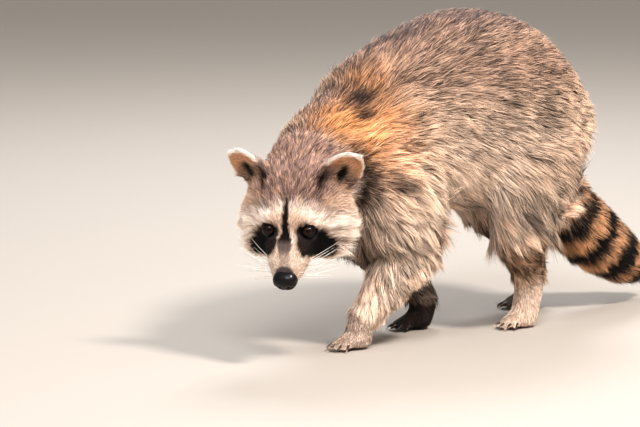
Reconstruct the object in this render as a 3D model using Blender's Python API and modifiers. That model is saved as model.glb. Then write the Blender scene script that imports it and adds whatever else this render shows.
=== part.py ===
"""A raccoon walking with its back arched, its head low and turned to its left, as a life-size still model.

The animal faces -Y with its left side at +X, and stands on the floor at Z = 0. Sizes are the outer sizes of
the coat. The body is modelled whole, from lofts and ellipsoids that a voxel remesh melts together, and is
then parted into its named pieces with thin cuts. Tables are in centimetres, single sizes in metres.
"""

import math

import bmesh
import bpy
import numpy as np
from mathutils import Matrix, Vector

CM = 0.01
VOXEL = 0.003
CUT_GAP = 0.0004
BODY_FACES = 3300
CAP_REACH = 0.8

# The head is placed by the midpoint between the eyes. Its own axes are the body's: X left, -Y forward, Z up.
HEAD_AT = Vector((0.061, -0.255, 0.138))
HEAD_YAW = math.radians(37)
HEAD_PITCH = math.radians(50)
HEAD_ROLL = math.radians(0)

# Each station of a loft is a centre, then the half width and half depth of the section.
TRUNK = (
    ((0.3, -14.0, 19.6), 5.6, 6.2),
    ((0.0, -11.0, 20.6), 7.6, 8.4),
    ((0.0, -5.0, 22.6), 8.8, 9.6),
    ((0.0, 1.0, 23.4), 9.6, 10.8),
    ((0.0, 6.0, 23.1), 9.6, 10.2),
    ((0.0, 9.5, 21.8), 8.9, 8.6),
    ((0.0, 12.0, 20.4), 7.6, 7.4),
)
NECK = (
    ((0.3, -12.0, 20.6), 6.6, 7.2),
    ((1.2, -16.6, 19.6), 5.8, 6.2),
    ((2.1, -19.8, 18.3), 4.7, 5.2),
    ((2.9, -21.6, 17.2), 4.1, 4.6),
)
TAIL = (
    ((0.2, 12.0, 16.8), 3.0, 3.2),
    ((0.3, 14.8, 13.5), 3.4, 3.4),
    ((0.3, 17.2, 10.7), 3.8, 3.8),
    ((0.1, 20.3, 8.1), 3.9, 3.9),
    ((0.0, 23.6, 5.9), 3.5, 3.4),
    ((-0.6, 26.4, 4.3), 2.8, 2.7),
    ((-1.3, 28.2, 3.4), 1.7, 1.7),
)
LIMBS = {
    "foreleg_left": (
        ((4.6, -9.8, 18.0), 3.4, 5.0),
        ((5.0, -10.2, 13.6), 3.6, 4.9),
        ((5.0, -9.4, 10.2), 3.0, 3.7),
        ((4.2, -11.6, 6.6), 2.2, 2.6),
        ((3.3, -13.7, 3.4), 1.5, 1.7),
        ((3.0, -14.1, 1.9), 1.5, 1.4),
    ),
    "foreleg_right": (
        ((-4.6, -9.8, 18.0), 3.4, 5.0),
        ((-4.8, -9.2, 13.4), 3.4, 4.8),
        ((-4.2, -6.2, 9.6), 2.9, 3.4),
        ((-2.9, -3.4, 6.4), 2.1, 2.4),
        ((-2.0, -1.6, 3.4), 1.5, 1.7),
        ((-1.9, -1.6, 1.9), 1.5, 1.3),
    ),
    "hindleg_left": (
        ((4.8, 7.0, 20.4), 4.6, 7.0),
        ((6.0, 6.0, 16.0), 4.2, 6.4),
        ((5.6, 5.6, 11.6), 3.0, 4.4),
        ((4.6, 6.8, 8.0), 2.1, 2.7),
        ((3.9, 8.3, 5.2), 1.6, 1.8),
    ),
    "hindleg_right": (
        ((-4.8, 8.0, 20.4), 4.6, 7.0),
        ((-5.8, 9.0, 16.0), 4.2, 5.8),
        ((-5.4, 11.2, 11.6), 3.0, 3.8),
        ((-5.2, 13.6, 8.3), 2.0, 2.4),
        ((-4.8, 15.5, 5.2), 1.6, 1.8),
    ),
    "instep_left": (
        ((3.9, 8.3, 5.2), 1.6, 1.8),
        ((4.0, 8.0, 3.0), 1.6, 1.5),
        ((4.2, 7.2, 1.2), 1.7, 1.1),
    ),
    "instep_right": (
        ((-4.8, 15.5, 5.2), 1.6, 1.8),
        ((-4.7, 15.8, 3.0), 1.6, 1.5),
        ((-4.4, 15.4, 1.2), 1.7, 1.1),
    ),
}
# The ball of each paw, and the way that its toes point, in degrees to the animal's left.
PAWS = {
    "forepaw_left": ((2.9, -14.3, 0.9), 4),
    "forepaw_right": ((-1.9, -2.3, 0.9), 2),
    "hindpaw_left": ((4.2, 7.1, 0.9), 8),
    "hindpaw_right": ((-4.4, 15.3, 0.9), -2),
}
BALL_RADII = (1.75, 1.7, 1.0)
TOE_REACH = 3.0
TOE_RADIUS = 0.48
TOE_SPREAD = math.radians(14)
TOE_SHARES = (0.78, 0.95, 1.0, 0.95, 0.78)
CLAW_LENGTH = 0.9
CLAW_RADIUS = 0.18

# Masses of the head, centre and radii, and the muzzle's stations, from the midpoint between the eyes.
SKULL = ((0.0, 4.6, -0.8), (5.6, 4.8, 3.8))
HEAD_MASSES = (
    SKULL,
    ((0.0, 0.9, -0.3), (3.7, 1.6, 2.2)),
    ((3.2, 3.2, -2.2), (3.2, 3.3, 3.1)),
    ((-3.2, 3.2, -2.2), (3.2, 3.3, 3.1)),
    ((2.2, 1.2, -2.6), (2.4, 2.6, 2.0)),
    ((-2.2, 1.2, -2.6), (2.4, 2.6, 2.0)),
    ((0.0, 1.2, -3.2), (2.6, 3.8, 1.6)),
    ((3.5, 0.3, -3.4), (1.8, 1.5, 1.2)),
    ((-3.5, 0.3, -3.4), (1.8, 1.5, 1.2)),
)
MUZZLE = (
    ((0.0, 1.0, -1.3), 3.0, 2.3),
    ((0.0, -1.4, -1.6), 2.5, 1.85),
    ((0.0, -3.0, -1.95), 2.05, 1.5),
    ((0.0, -3.8, -2.15), 1.6, 1.25),
)
NOSE_AT, NOSE_RADII = (0.0, -4.75, -2.1), (1.3, 0.78, 0.92)
EYE_AT, EYE_RADIUS = (2.0, 0.0, 0.0), 0.0078
EAR_AT = (4.2, 5.1, 0.7)
EAR_HEIGHT, EAR_HALF_WIDTH, EAR_CUP, EAR_THICKNESS = 0.039, 0.0205, 0.011, 0.007
EAR_LEAN, EAR_FLARE, EAR_TURN = math.radians(28), math.radians(31), math.radians(15)

# Each leg parts from the trunk on a dome, given by its lowest level's centre and its radii.
JOINT_DOMES = (
    ((6.0, -10.0, 9.4), (4.9, 6.2, 11.0)),
    ((-5.5, -7.6, 9.0), (5.0, 7.0, 11.0)),
    ((6.4, 6.0, 10.6), (5.0, 7.4, 12.4)),
    ((-6.5, 10.4, 10.6), (4.8, 6.6, 12.0)),
)
# The other cuts are flat: centre, normal, and radius.
FLAT_CUTS = (
    ((2.2, -19.4, 18.2), (-0.35, 0.83, 0.43), 8.4),
    ((0.9, -15.9, 19.2), (-0.25, 0.95, 0.20), 8.4),
    ((0.3, 15.9, 12.1), (0.0, 0.65, -0.76), 4.9),
    ((0.2, 19.7, 8.6), (0.0, 0.77, -0.64), 5.0),
    ((0.0, 23.8, 5.8), (-0.12, 0.84, -0.53), 4.7),
    ((5.0, -9.4, 9.4), (0.0, 0.0, 1.0), 5.2),
    ((-4.6, -6.4, 9.0), (0.0, 0.0, 1.0), 5.3),
    ((5.4, 6.0, 10.6), (0.0, 0.0, 1.0), 5.6),
    ((-5.4, 11.8, 10.6), (0.0, 0.0, 1.0), 5.0),
    ((3.4, -13.5, 3.6), (0.10, 0.60, 0.80), 2.9),
    ((-2.1, -1.8, 3.6), (0.10, -0.10, 1.0), 2.9),
    ((3.9, 8.2, 5.6), (0.0, 0.0, 1.0), 3.2),
    ((-4.8, 15.3, 5.6), (0.0, 0.0, 1.0), 3.0),
)
NOSE_CUT_AT, NOSE_CUT_RADIUS = (0.0, -4.5, -2.1), 2.1
EAR_CUT_RISE, EAR_CUT_TILT, EAR_CUT_RADIUS = 0.014, 0.25, 0.030

# A point inside each piece, by which the cut pieces are named, and its finish.
PIECES = {
    "trunk": ((0.0, 1.0, 24.0), "coat"),
    "neck": ((1.6, -17.6, 18.8), "coat"),
    "tail_base": ((0.0, 17.6, 10.4), "dark"),
    "tail_middle": ((0.0, 21.8, 7.1), "coat"),
    "tail_tip": ((-0.8, 26.2, 4.5), "dark"),
    "upperarm_left": ((5.6, -10.2, 14.0), "coat"),
    "upperarm_right": ((-5.4, -8.8, 14.0), "coat"),
    "forearm_left": ((4.2, -11.6, 6.4), "pale"),
    "forearm_right": ((-3.0, -4.0, 6.2), "dark"),
    "forepaw_left": ((3.0, -15.6, 1.0), "pale"),
    "forepaw_right": ((-1.9, -3.6, 1.0), "dark"),
    "thigh_left": ((6.4, 6.4, 17.0), "coat"),
    "thigh_right": ((-6.2, 10.0, 17.0), "coat"),
    "shank_left": ((4.6, 7.4, 8.0), "pale"),
    "shank_right": ((-5.2, 13.6, 8.0), "dark"),
    "hindpaw_left": ((4.1, 7.0, 1.8), "pale"),
    "hindpaw_right": ((-4.4, 15.0, 1.8), "dark"),
}
FINISHES = {
    "coat": ((0.46, 0.36, 0.28), 0.8),
    "dark": ((0.05, 0.035, 0.03), 0.7),
    "pale": ((0.72, 0.62, 0.50), 0.75),
    "eye": ((0.03, 0.012, 0.008), 0.1),
    "nose": ((0.02, 0.02, 0.025), 0.3),
}


def head_frame():
    """The head's place: yaw to the left, then the muzzle pitched down, then roll."""
    turn = Matrix.Rotation(HEAD_YAW, 4, "Z") @ Matrix.Rotation(HEAD_PITCH, 4, "X")
    return Matrix.Translation(HEAD_AT) @ turn @ Matrix.Rotation(HEAD_ROLL, 4, "Y")


def ear_frame(side):
    """The base of an ear: Z up the ear, -Y the way it opens. side is 1 for left, -1 for right."""
    base = Vector((side * EAR_AT[0], EAR_AT[1], EAR_AT[2])) * CM
    tilt = Matrix.Rotation(side * EAR_FLARE, 4, "Y") @ Matrix.Rotation(-EAR_LEAN, 4, "X")
    return head_frame() @ Matrix.Translation(base) @ tilt @ Matrix.Rotation(side * EAR_TURN, 4, "Z")


def eye_centre(side):
    return head_frame() @ (Vector((side * EYE_AT[0], EYE_AT[1], EYE_AT[2])) * CM)


def new_object(name, vertices, faces, collection):
    mesh = bpy.data.meshes.new(name)
    mesh.from_pydata([tuple(v) for v in vertices], [], faces)
    made = bpy.data.objects.new(name, mesh)
    collection.objects.link(made)
    return made


def smooth_path(points, count):
    """count points along a Catmull-Rom curve through the rows of points, evenly spaced in parameter."""
    rows = np.vstack([2 * points[0] - points[1], points, 2 * points[-1] - points[-2]])
    at = np.linspace(0, len(points) - 1, count)
    i = np.minimum(at.astype(int), len(points) - 2)
    t = (at - i)[:, None]
    a, b, c, d = (rows[i + k] for k in range(4))
    return 0.5 * (2 * b + (c - a) * t + (2 * a - 5 * b + 4 * c - d) * t**2 + (3 * b - a - 3 * c + d) * t**3)


def rounded_end(path, along, end, rings):
    """The extra rows and headings that close a path at its first (0) or last (-1) station."""
    centre, way, width, depth = path[end, :3], along[end], path[end, 3], path[end, 4]
    outward = way if end else -way
    turns = np.linspace(0, math.pi / 2, rings + 1)[1:, None] * 0.98
    reach = CAP_REACH * min(width, depth)
    rows = np.hstack([centre + outward * reach * np.sin(turns), np.cos(turns) * (width, depth)])
    return rows, np.tile(way, (rings, 1))


def loft(name, stations, collection, frame=None, sides=20, rings=24, end_rings=3):
    """A tube of elliptical sections, square to its path through the stations, with rounded ends."""
    path = smooth_path(np.array([[*centre, width, depth] for centre, width, depth in stations]) * CM, rings)
    along = np.gradient(path[:, :3], axis=0)
    along /= np.linalg.norm(along, axis=1)[:, None]
    first, first_way = rounded_end(path, along, 0, end_rings)
    last, last_way = rounded_end(path, along, -1, end_rings)
    path, along = np.vstack([first[::-1], path, last]), np.vstack([first_way, along, last_way])
    across = np.cross(np.cross(along, (1.0, 0.0, 0.0)), along)
    across /= np.linalg.norm(across, axis=1)[:, None]
    depthwise = np.cross(along, across)
    angle = (np.arange(sides) * 2 * math.pi / sides)[None, :, None]
    wide, deep = across * path[:, 3:4], depthwise * path[:, 4:5]
    rows = path[:, None, :3] + np.cos(angle) * wide[:, None] + np.sin(angle) * deep[:, None]
    faces = [
        (i * sides + j, i * sides + (j + 1) % sides, (i + 1) * sides + (j + 1) % sides, (i + 1) * sides + j)
        for i in range(len(path) - 1)
        for j in range(sides)
    ]
    end = (len(path) - 1) * sides
    faces += [tuple(reversed(range(sides))), tuple(range(end, end + sides))]
    made = new_object(name, rows.reshape(-1, 3), faces, collection)
    if frame is not None:
        made.data.transform(frame)
    face_outwards(made)
    return made


def face_outwards(target):
    mesh = bmesh.new()
    mesh.from_mesh(target.data)
    bmesh.ops.recalc_face_normals(mesh, faces=mesh.faces)
    mesh.to_mesh(target.data)
    mesh.free()


def ellipsoid(name, centre, radii, collection, frame=None, segments=20, rings=14):
    """A sphere scaled to its radii, in metres, and moved to its centre."""
    mesh = bmesh.new()
    bmesh.ops.create_uvsphere(mesh, u_segments=segments, v_segments=rings, radius=1)
    place = Matrix.Translation(Vector(centre)) @ Matrix.Diagonal((*radii, 1))
    bmesh.ops.transform(mesh, matrix=(frame or Matrix.Identity(4)) @ place, verts=mesh.verts)
    data = bpy.data.meshes.new(name)
    mesh.to_mesh(data)
    mesh.free()
    made = bpy.data.objects.new(name, data)
    collection.objects.link(made)
    return made


def ear(side, collection):
    """A cupped leaf, with its rim curled forward round the opening, thickened outwards."""
    steps, columns = 12, 13
    up = np.linspace(-0.25, 1, steps)[:, None]
    over = np.linspace(-1, 1, columns)[None, :]
    tip = np.clip((up - 0.45) / 0.57, 0, 0.99)
    half = EAR_HALF_WIDTH * (1 - 0.12 * np.clip(0.45 - up, 0, 1)) * np.sqrt(1 - tip**2)
    x = half * np.sin(over * 1.25) / math.sin(1.25)
    rise = np.clip(up, 0, 1) ** 2
    y = EAR_CUP * (1 - over**2) * (1.0 - 0.65 * rise) - 0.004 * rise
    z = EAR_HEIGHT * up + 0 * over
    vertices = np.stack(np.broadcast_arrays(x, y, z), axis=-1).reshape(-1, 3)
    faces = [
        (i * columns + j, i * columns + j + 1, (i + 1) * columns + j + 1, (i + 1) * columns + j)
        for i in range(steps - 1)
        for j in range(columns - 1)
    ]
    made = new_object(f"ear_{side}", vertices, faces, collection)
    thicken = made.modifiers.new("thickness", "SOLIDIFY")
    thicken.thickness = EAR_THICKNESS
    thicken.offset = 0
    settle(made)
    made.data.transform(ear_frame(side))
    face_outwards(made)
    return made


def paw_pieces(name, ball, heading, collection):
    """The ball of a paw and its five toes, which touch the floor at their tips."""
    frame = Matrix.Translation(Vector(ball) * CM) @ Matrix.Rotation(math.radians(heading), 4, "Z")
    made = [ellipsoid(f"{name}_ball", (0, 0, 0), [r * CM for r in BALL_RADII], collection, frame)]
    for number, share in enumerate(TOE_SHARES):
        turn = frame @ Matrix.Rotation((number - 2) * TOE_SPREAD, 4, "Z")
        reach, width = TOE_REACH * share, TOE_RADIUS
        stations = (
            ((0, -0.8, 0.0), width, width),
            ((0, -0.60 * reach, 0.15), width, width),
            ((0, -reach, -0.42), width * 0.9, width * 0.85),
        )
        made.append(loft(f"{name}_toe{number}", stations, collection, turn, 10, 10))
    return made


def claws(name, ball, heading, collection):
    """Five curved claws, one from the end of each toe."""
    frame = Matrix.Translation(Vector(ball) * CM) @ Matrix.Rotation(math.radians(heading), 4, "Z")
    made = []
    for number, share in enumerate(TOE_SHARES):
        turn = frame @ Matrix.Rotation((number - 2) * TOE_SPREAD, 4, "Z")
        reach, length, width = TOE_REACH * share, CLAW_LENGTH, CLAW_RADIUS
        stations = (
            ((0, -reach + 0.15, -0.3), width, width),
            ((0, -reach - 0.45 * length, -0.36), width * 0.85, width),
            ((0, -reach - 0.85 * length, -0.62), width * 0.35, width * 0.4),
        )
        made.append(loft(f"{name}_claw{number}", stations, collection, turn, 5, 4, 1))
    return made


def joined(name, objects, collection):
    """One mesh object that holds all of these, still as overlapping shells."""
    mesh = bmesh.new()
    for source in objects:
        mesh.from_mesh(source.data)
        bpy.data.objects.remove(source)
    data = bpy.data.meshes.new(name)
    mesh.to_mesh(data)
    mesh.free()
    made = bpy.data.objects.new(name, data)
    collection.objects.link(made)
    return made


def settle(target):
    """Replaces the object's mesh by what its modifiers make of it."""
    graph = bpy.context.evaluated_depsgraph_get()
    data = bpy.data.meshes.new_from_object(target.evaluated_get(graph), depsgraph=graph)
    target.modifiers.clear()
    target.data = data


def melt(target):
    """Remeshes overlapping shells into one skin, then relaxes it, least on the paws and face."""
    remesh = target.modifiers.new("melt", "REMESH")
    remesh.mode = "VOXEL"
    remesh.voxel_size = VOXEL
    settle(target)
    data = target.data
    points = np.empty(len(data.vertices) * 3)
    data.vertices.foreach_get("co", points)
    points = points.reshape(-1, 3)
    ends = np.empty(len(data.edges) * 2, int)
    data.edges.foreach_get("vertices", ends)
    a, b = ends.reshape(-1, 2).T
    count = np.bincount(a, minlength=len(points)) + np.bincount(b, minlength=len(points))
    face = np.linalg.norm(points - np.array(HEAD_AT), axis=1)
    share = np.clip(np.minimum((points[:, 2] - 0.015) / 0.05, (face - 0.075) / 0.05), 0.0, 1.0)
    for step in range(30):
        weight = 0.5 * share if step >= 4 else 0.5 * np.maximum(share, 0.6)
        near = np.stack(
            [
                np.bincount(a, points[b, k], len(points)) + np.bincount(b, points[a, k], len(points))
                for k in range(3)
            ],
            axis=1,
        )
        points += weight[:, None] * (near / count[:, None] - points)
    data.vertices.foreach_set("co", points.ravel())
    data.update()


def thin_out(target, faces):
    decimate = target.modifiers.new("thin", "DECIMATE")
    decimate.ratio = faces / (2 * len(target.data.polygons))
    settle(target)


def combine(target, tool, operation):
    boolean = target.modifiers.new(operation.lower(), "BOOLEAN")
    boolean.operation = operation
    boolean.solver = "EXACT"
    boolean.object = tool
    settle(target)


def disc(centre, normal, radius, collection):
    """A thin round cutter: centre and normal in metres, and its radius."""
    mesh = bmesh.new()
    turn = Vector((0, 0, 1)).rotation_difference(Vector(normal)).to_matrix().to_4x4()
    bmesh.ops.create_cone(
        mesh,
        cap_ends=True,
        segments=32,
        radius1=radius,
        radius2=radius,
        depth=CUT_GAP,
        matrix=Matrix.Translation(Vector(centre)) @ turn,
    )
    data = bpy.data.meshes.new("cut")
    mesh.to_mesh(data)
    mesh.free()
    made = bpy.data.objects.new("cut", data)
    collection.objects.link(made)
    return made


def shell(centre, radii, keep, collection):
    """A thin curved cutter: the faces of an ellipsoid that keep allows, by their middles, in metres."""
    made = ellipsoid("shell_cut", Vector(centre) * CM, [r * CM for r in radii], collection, None, 16, 10)
    mesh = bmesh.new()
    mesh.from_mesh(made.data)
    bmesh.ops.delete(mesh, geom=[f for f in mesh.faces if not keep(f.calc_center_median())], context="FACES")
    mesh.to_mesh(made.data)
    mesh.free()
    wall = made.modifiers.new("wall", "SOLIDIFY")
    wall.thickness = CUT_GAP
    wall.offset = 0
    settle(made)
    return made


def floor_block(collection):
    """What lies under the floor, cut away so that the paws stand on small flats."""
    mesh = bmesh.new()
    below = Matrix.Translation((0, 0, -0.05)) @ Matrix.Diagonal((1, 1, 0.1, 1))
    bmesh.ops.create_cube(mesh, size=1, matrix=below)
    data = bpy.data.meshes.new("below_floor")
    mesh.to_mesh(data)
    mesh.free()
    made = bpy.data.objects.new("below_floor", data)
    collection.objects.link(made)
    return made


def loose_parts(target, collection):
    """Splits the mesh into its separate bodies, biggest first."""
    mesh = bmesh.new()
    mesh.from_mesh(target.data)
    todo, found = set(mesh.verts), []
    while todo:
        group, front = set(), [todo.pop()]
        while front:
            vertex = front.pop()
            group.add(vertex)
            for edge in vertex.link_edges:
                other = edge.other_vert(vertex)
                if other in todo:
                    todo.discard(other)
                    front.append(other)
        found.append(sorted(v.index for v in group))
    mesh.free()
    points = [v.co.copy() for v in target.data.vertices]
    parts = []
    for group in sorted(found, key=len, reverse=True):
        number = {v: i for i, v in enumerate(group)}
        faces = [
            tuple(number[v] for v in polygon.vertices)
            for polygon in target.data.polygons
            if polygon.vertices[0] in number
        ]
        parts.append(new_object("loose", [points[v] for v in group], faces, collection))
    return parts


def finish(target, name, kind):
    """Names a piece and gives it its material and shading."""
    target.name = name
    target.data.name = name
    colour, roughness = FINISHES[kind]
    material = bpy.data.materials.get(kind) or bpy.data.materials.new(kind)
    material.use_nodes = True
    shader = material.node_tree.nodes["Principled BSDF"]
    shader.inputs["Base Color"].default_value = (*colour, 1)
    shader.inputs["Roughness"].default_value = roughness
    target.data.materials.clear()
    target.data.materials.append(material)
    target.data.shade_smooth()
    target.data.set_sharp_from_angle(angle=math.radians(50))


def seeds():
    """Name, a point inside and finish of every piece of the body."""
    found = [(name, Vector(point) * CM, kind) for name, (point, kind) in PIECES.items()]
    found.append(("head", head_frame() @ (Vector((0, 2.4, -0.4)) * CM), "coat"))
    found.append(("nose", head_frame() @ (Vector(NOSE_AT) * CM), "nose"))
    for side, label in ((1, "left"), (-1, "right")):
        found.append((f"ear_{label}", ear_frame(side) @ Vector((0, 0, 0.6 * EAR_HEIGHT)), "pale"))
    return found


def centre_over_origin(objects):
    """Moves the animal so that the middle of its box stands over the origin."""
    corners = np.array([v.co for o in objects for v in o.data.vertices])
    middle = (corners.min(0) + corners.max(0)) / 2
    for o in objects:
        o.data.transform(Matrix.Translation((-middle[0], -middle[1], 0)))


def build():
    for o in list(bpy.data.objects):
        bpy.data.objects.remove(o)
    raccoon = bpy.data.collections.new("raccoon")
    cutters = bpy.data.collections.new("cutters")
    for group in (raccoon, cutters):
        bpy.context.scene.collection.children.link(group)

    head = head_frame()
    soft = [loft("form", stations, raccoon) for stations in (TRUNK, NECK, TAIL, *LIMBS.values())]
    soft += [
        ellipsoid("mass", Vector(centre) * CM, [r * CM for r in radii], raccoon, head)
        for centre, radii in HEAD_MASSES
    ]
    soft.append(loft("muzzle", MUZZLE, raccoon, head))
    soft.append(ellipsoid("nose_form", Vector(NOSE_AT) * CM, [r * CM for r in NOSE_RADII], raccoon, head))
    soft += [ear(side, raccoon) for side in (1, -1)]
    for name, (ball, heading) in PAWS.items():
        soft += paw_pieces(name, ball, heading, raccoon)
    body = joined("body", soft, raccoon)
    melt(body)
    thin_out(body, BODY_FACES)

    for name, (ball, heading) in PAWS.items():
        for claw in claws(name, ball, heading, cutters):
            combine(body, claw, "UNION")
            bpy.data.objects.remove(claw)

    tools = [
        shell(centre, radii, lambda at, low=centre[2] * CM: at.z > low, cutters)
        for centre, radii in JOINT_DOMES
    ]
    tools += [disc(Vector(c) * CM, n, r * CM, cutters) for c, n, r in FLAT_CUTS]
    nose_way = head.to_3x3() @ Vector((0, 1, 0))
    tools.append(disc(head @ (Vector(NOSE_CUT_AT) * CM), nose_way, NOSE_CUT_RADIUS * CM, cutters))
    for side in (1, -1):
        ear_base = ear_frame(side)
        across = ear_base.to_3x3() @ Vector((side * EAR_CUT_TILT, 0, 1))
        tools.append(disc(ear_base @ Vector((0, 0.003, EAR_CUT_RISE)), across, EAR_CUT_RADIUS, cutters))
        tools.append(ellipsoid("socket", eye_centre(side), [EYE_RADIUS + CUT_GAP] * 3, cutters, None, 14, 8))
    tools.append(floor_block(cutters))
    for tool in tools:
        combine(body, tool, "DIFFERENCE")
        tool.hide_render = True
        tool.display_type = "WIRE"

    wanted = seeds()
    parts = loose_parts(body, raccoon)
    assert len(parts) == len(wanted), "a cut has missed or has left a spare piece"
    bpy.data.objects.remove(body)
    for part in parts:
        centre = sum((v.co for v in part.data.vertices), Vector()) / len(part.data.vertices)
        nearest = min(wanted, key=lambda seed: (seed[1] - centre).length)
        wanted.remove(nearest)
        finish(part, nearest[0], nearest[2])
    for side, label in ((1, "left"), (-1, "right")):
        eye = ellipsoid("eye", eye_centre(side), [EYE_RADIUS] * 3, raccoon, None, 14, 8)
        finish(eye, f"eye_{label}", "eye")
    centre_over_origin(list(raccoon.objects))


build()
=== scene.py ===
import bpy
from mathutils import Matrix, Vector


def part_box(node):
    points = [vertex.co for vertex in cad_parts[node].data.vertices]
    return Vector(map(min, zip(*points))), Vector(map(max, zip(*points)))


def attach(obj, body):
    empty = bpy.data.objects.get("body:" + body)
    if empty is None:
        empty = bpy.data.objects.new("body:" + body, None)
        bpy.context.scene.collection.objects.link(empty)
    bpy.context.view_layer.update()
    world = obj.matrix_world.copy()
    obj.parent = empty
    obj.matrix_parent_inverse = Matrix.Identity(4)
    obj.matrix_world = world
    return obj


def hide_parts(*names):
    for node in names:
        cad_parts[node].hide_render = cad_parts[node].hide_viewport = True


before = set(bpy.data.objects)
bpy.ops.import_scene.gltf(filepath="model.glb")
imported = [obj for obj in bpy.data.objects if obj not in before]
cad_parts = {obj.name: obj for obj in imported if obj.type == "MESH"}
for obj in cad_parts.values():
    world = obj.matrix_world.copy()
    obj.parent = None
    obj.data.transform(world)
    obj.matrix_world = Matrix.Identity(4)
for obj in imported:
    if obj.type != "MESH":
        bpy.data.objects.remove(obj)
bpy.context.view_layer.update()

import math

import bmesh
import bpy
import numpy as np
from mathutils import Vector

# A raccoon in mid-stride. One skin covers the flesh, and the coat lies over it in tufts. The animal faces
# -Y with its left side at +X. Head coordinates are in centimetres from the midpoint between the eyes: side
# (to the animal's left), back (away from the nose) and up.

MM = 0.001
CM = 0.01

# Sizes on the head are in centimetres, apart from the opening between the lids: half its width and half its
# height in millimetres. Ways and angles are in the head's own axes.
HEAD_PITCH = math.radians(50)
VOXEL = 2.25 * MM
CUT_SWELL = 0.5 * MM
EYE_RADIUS = 7.8 * MM
EYE_OPENING = (6.5, 5.5)
EYE_WAY = (0.38, -0.66, 0.64)
EYE_TILT = math.radians(-8)
GAZE = (0.22, -0.52, 0.80)
EAR_AT = (4.2, 5.1, 0.7)
EAR_HEIGHT = 3.9
EAR_HALF_WIDTH, EAR_CUP = 2.05, 1.1
EAR_ARC = 1.25
EAR_WALL = 5.0 * MM
EAR_LEAN, EAR_FLARE, EAR_TURN = math.radians(28), math.radians(31), math.radians(15)
NOSE_AT, NOSE_RADII = (0.0, -4.60, -2.06), (1.24, 0.86, 1.02)

# Half the floor's width in metres.
FLOOR_REACH = 12.0
# The camera's angle round the animal from its front to its left and its angle above the ground, the point
# it aims at and how far off it stands in metres, and its lens in millimetres on 36.
CAMERA_ANGLES = math.radians(52), math.radians(8.9)
CAMERA_AIM, CAMERA_AWAY, CAMERA_LENS = (0.00911, -0.18430, 0.141), 3.884, 214.1

# The middle of the tail from root to tip, in metres.
TAIL_LINE = np.array([
    (0.0012, 0.1114, 0.168), (0.0022, 0.1395, 0.135), (0.0022, 0.1634, 0.107), (0.0002, 0.1945, 0.081),
    (-0.0008, 0.2275, 0.059), (-0.0068, 0.2555, 0.043), (-0.0138, 0.2734, 0.034),
])
# The ball of each paw in metres, and the way its toes point, in degrees to the animal's left.
PAWS = {
    "forepaw_left": ((0.0282, -0.1516, 0.009), 4),
    "forepaw_right": ((-0.0198, -0.0316, 0.009), 2),
    "hindpaw_left": ((0.0412, 0.0624, 0.009), 8),
    "hindpaw_right": ((-0.0448, 0.1444, 0.009), -2),
}
TOE_REACH, TOE_SPREAD = 30 * MM, math.radians(14)
TOE_SHARES = (0.78, 0.95, 1.0, 0.95, 0.78)
CLAW_LENGTH, CLAW_RADIUS = 10.0 * MM, 1.6 * MM
WHISKER_RADIUS = 0.38 * MM

# How large the patterns are: flecks in the hair 1.4 mm, felting of the hide 0.7 mm, pebbles on the nose
# 0.7 mm and clouds in horn 3.8 mm.
FLECK, FELT, PEBBLE, CLOUD = MM / 0.7, MM / 1.4, MM / 1.4, MM / 0.26

# For each zone of the body: how deep the coat is, how long and how wide its tufts are, all in millimetres,
# and how many tufts grow on a square millimetre. A tuft stands for several hairs that cling together, so it
# is drawn coarser than a hair, which is under 0.1 mm wide.
ZONES = {
    "trunk": (9.0, 27.0, 0.50, 0.72),
    "neck": (8.0, 19.0, 0.48, 0.90),
    "head": (4.5, 12.0, 0.38, 1.60),
    "ear": (1.0, 5.5, 0.28, 2.60),
    "upperarm": (7.0, 24.0, 0.50, 0.80),
    "forearm": (3.8, 18.0, 0.46, 1.25),
    "forepaw": (1.1, 4.5, 0.34, 2.00),
    "thigh": (8.0, 29.0, 0.52, 0.72),
    "shank": (4.4, 20.0, 0.48, 1.20),
    "hindpaw": (1.2, 5.0, 0.36, 2.00),
    "tail": (9.0, 24.0, 0.55, 0.90),
}
# The zones that each piece of the coat covers.
COAT_PIECES = {
    "coat_head": ("head",),
    "coat_ears": ("ear",),
    "coat_neck": ("neck",),
    "coat_trunk": ("trunk",),
    "coat_forelegs": ("upperarm", "forearm"),
    "coat_hindlegs": ("thigh", "shank"),
    "coat_paws": ("forepaw", "hindpaw"),
    "coat_tail": ("tail",),
}
TRIANGLES_AT_MOST = 190_000
HAIR_AT_MOST = 46 * MM
UNDERFUR_SHARE, STRAY_SHARE = 0.28, 0.05
HEAVE_LENGTH = 16 * MM

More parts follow.
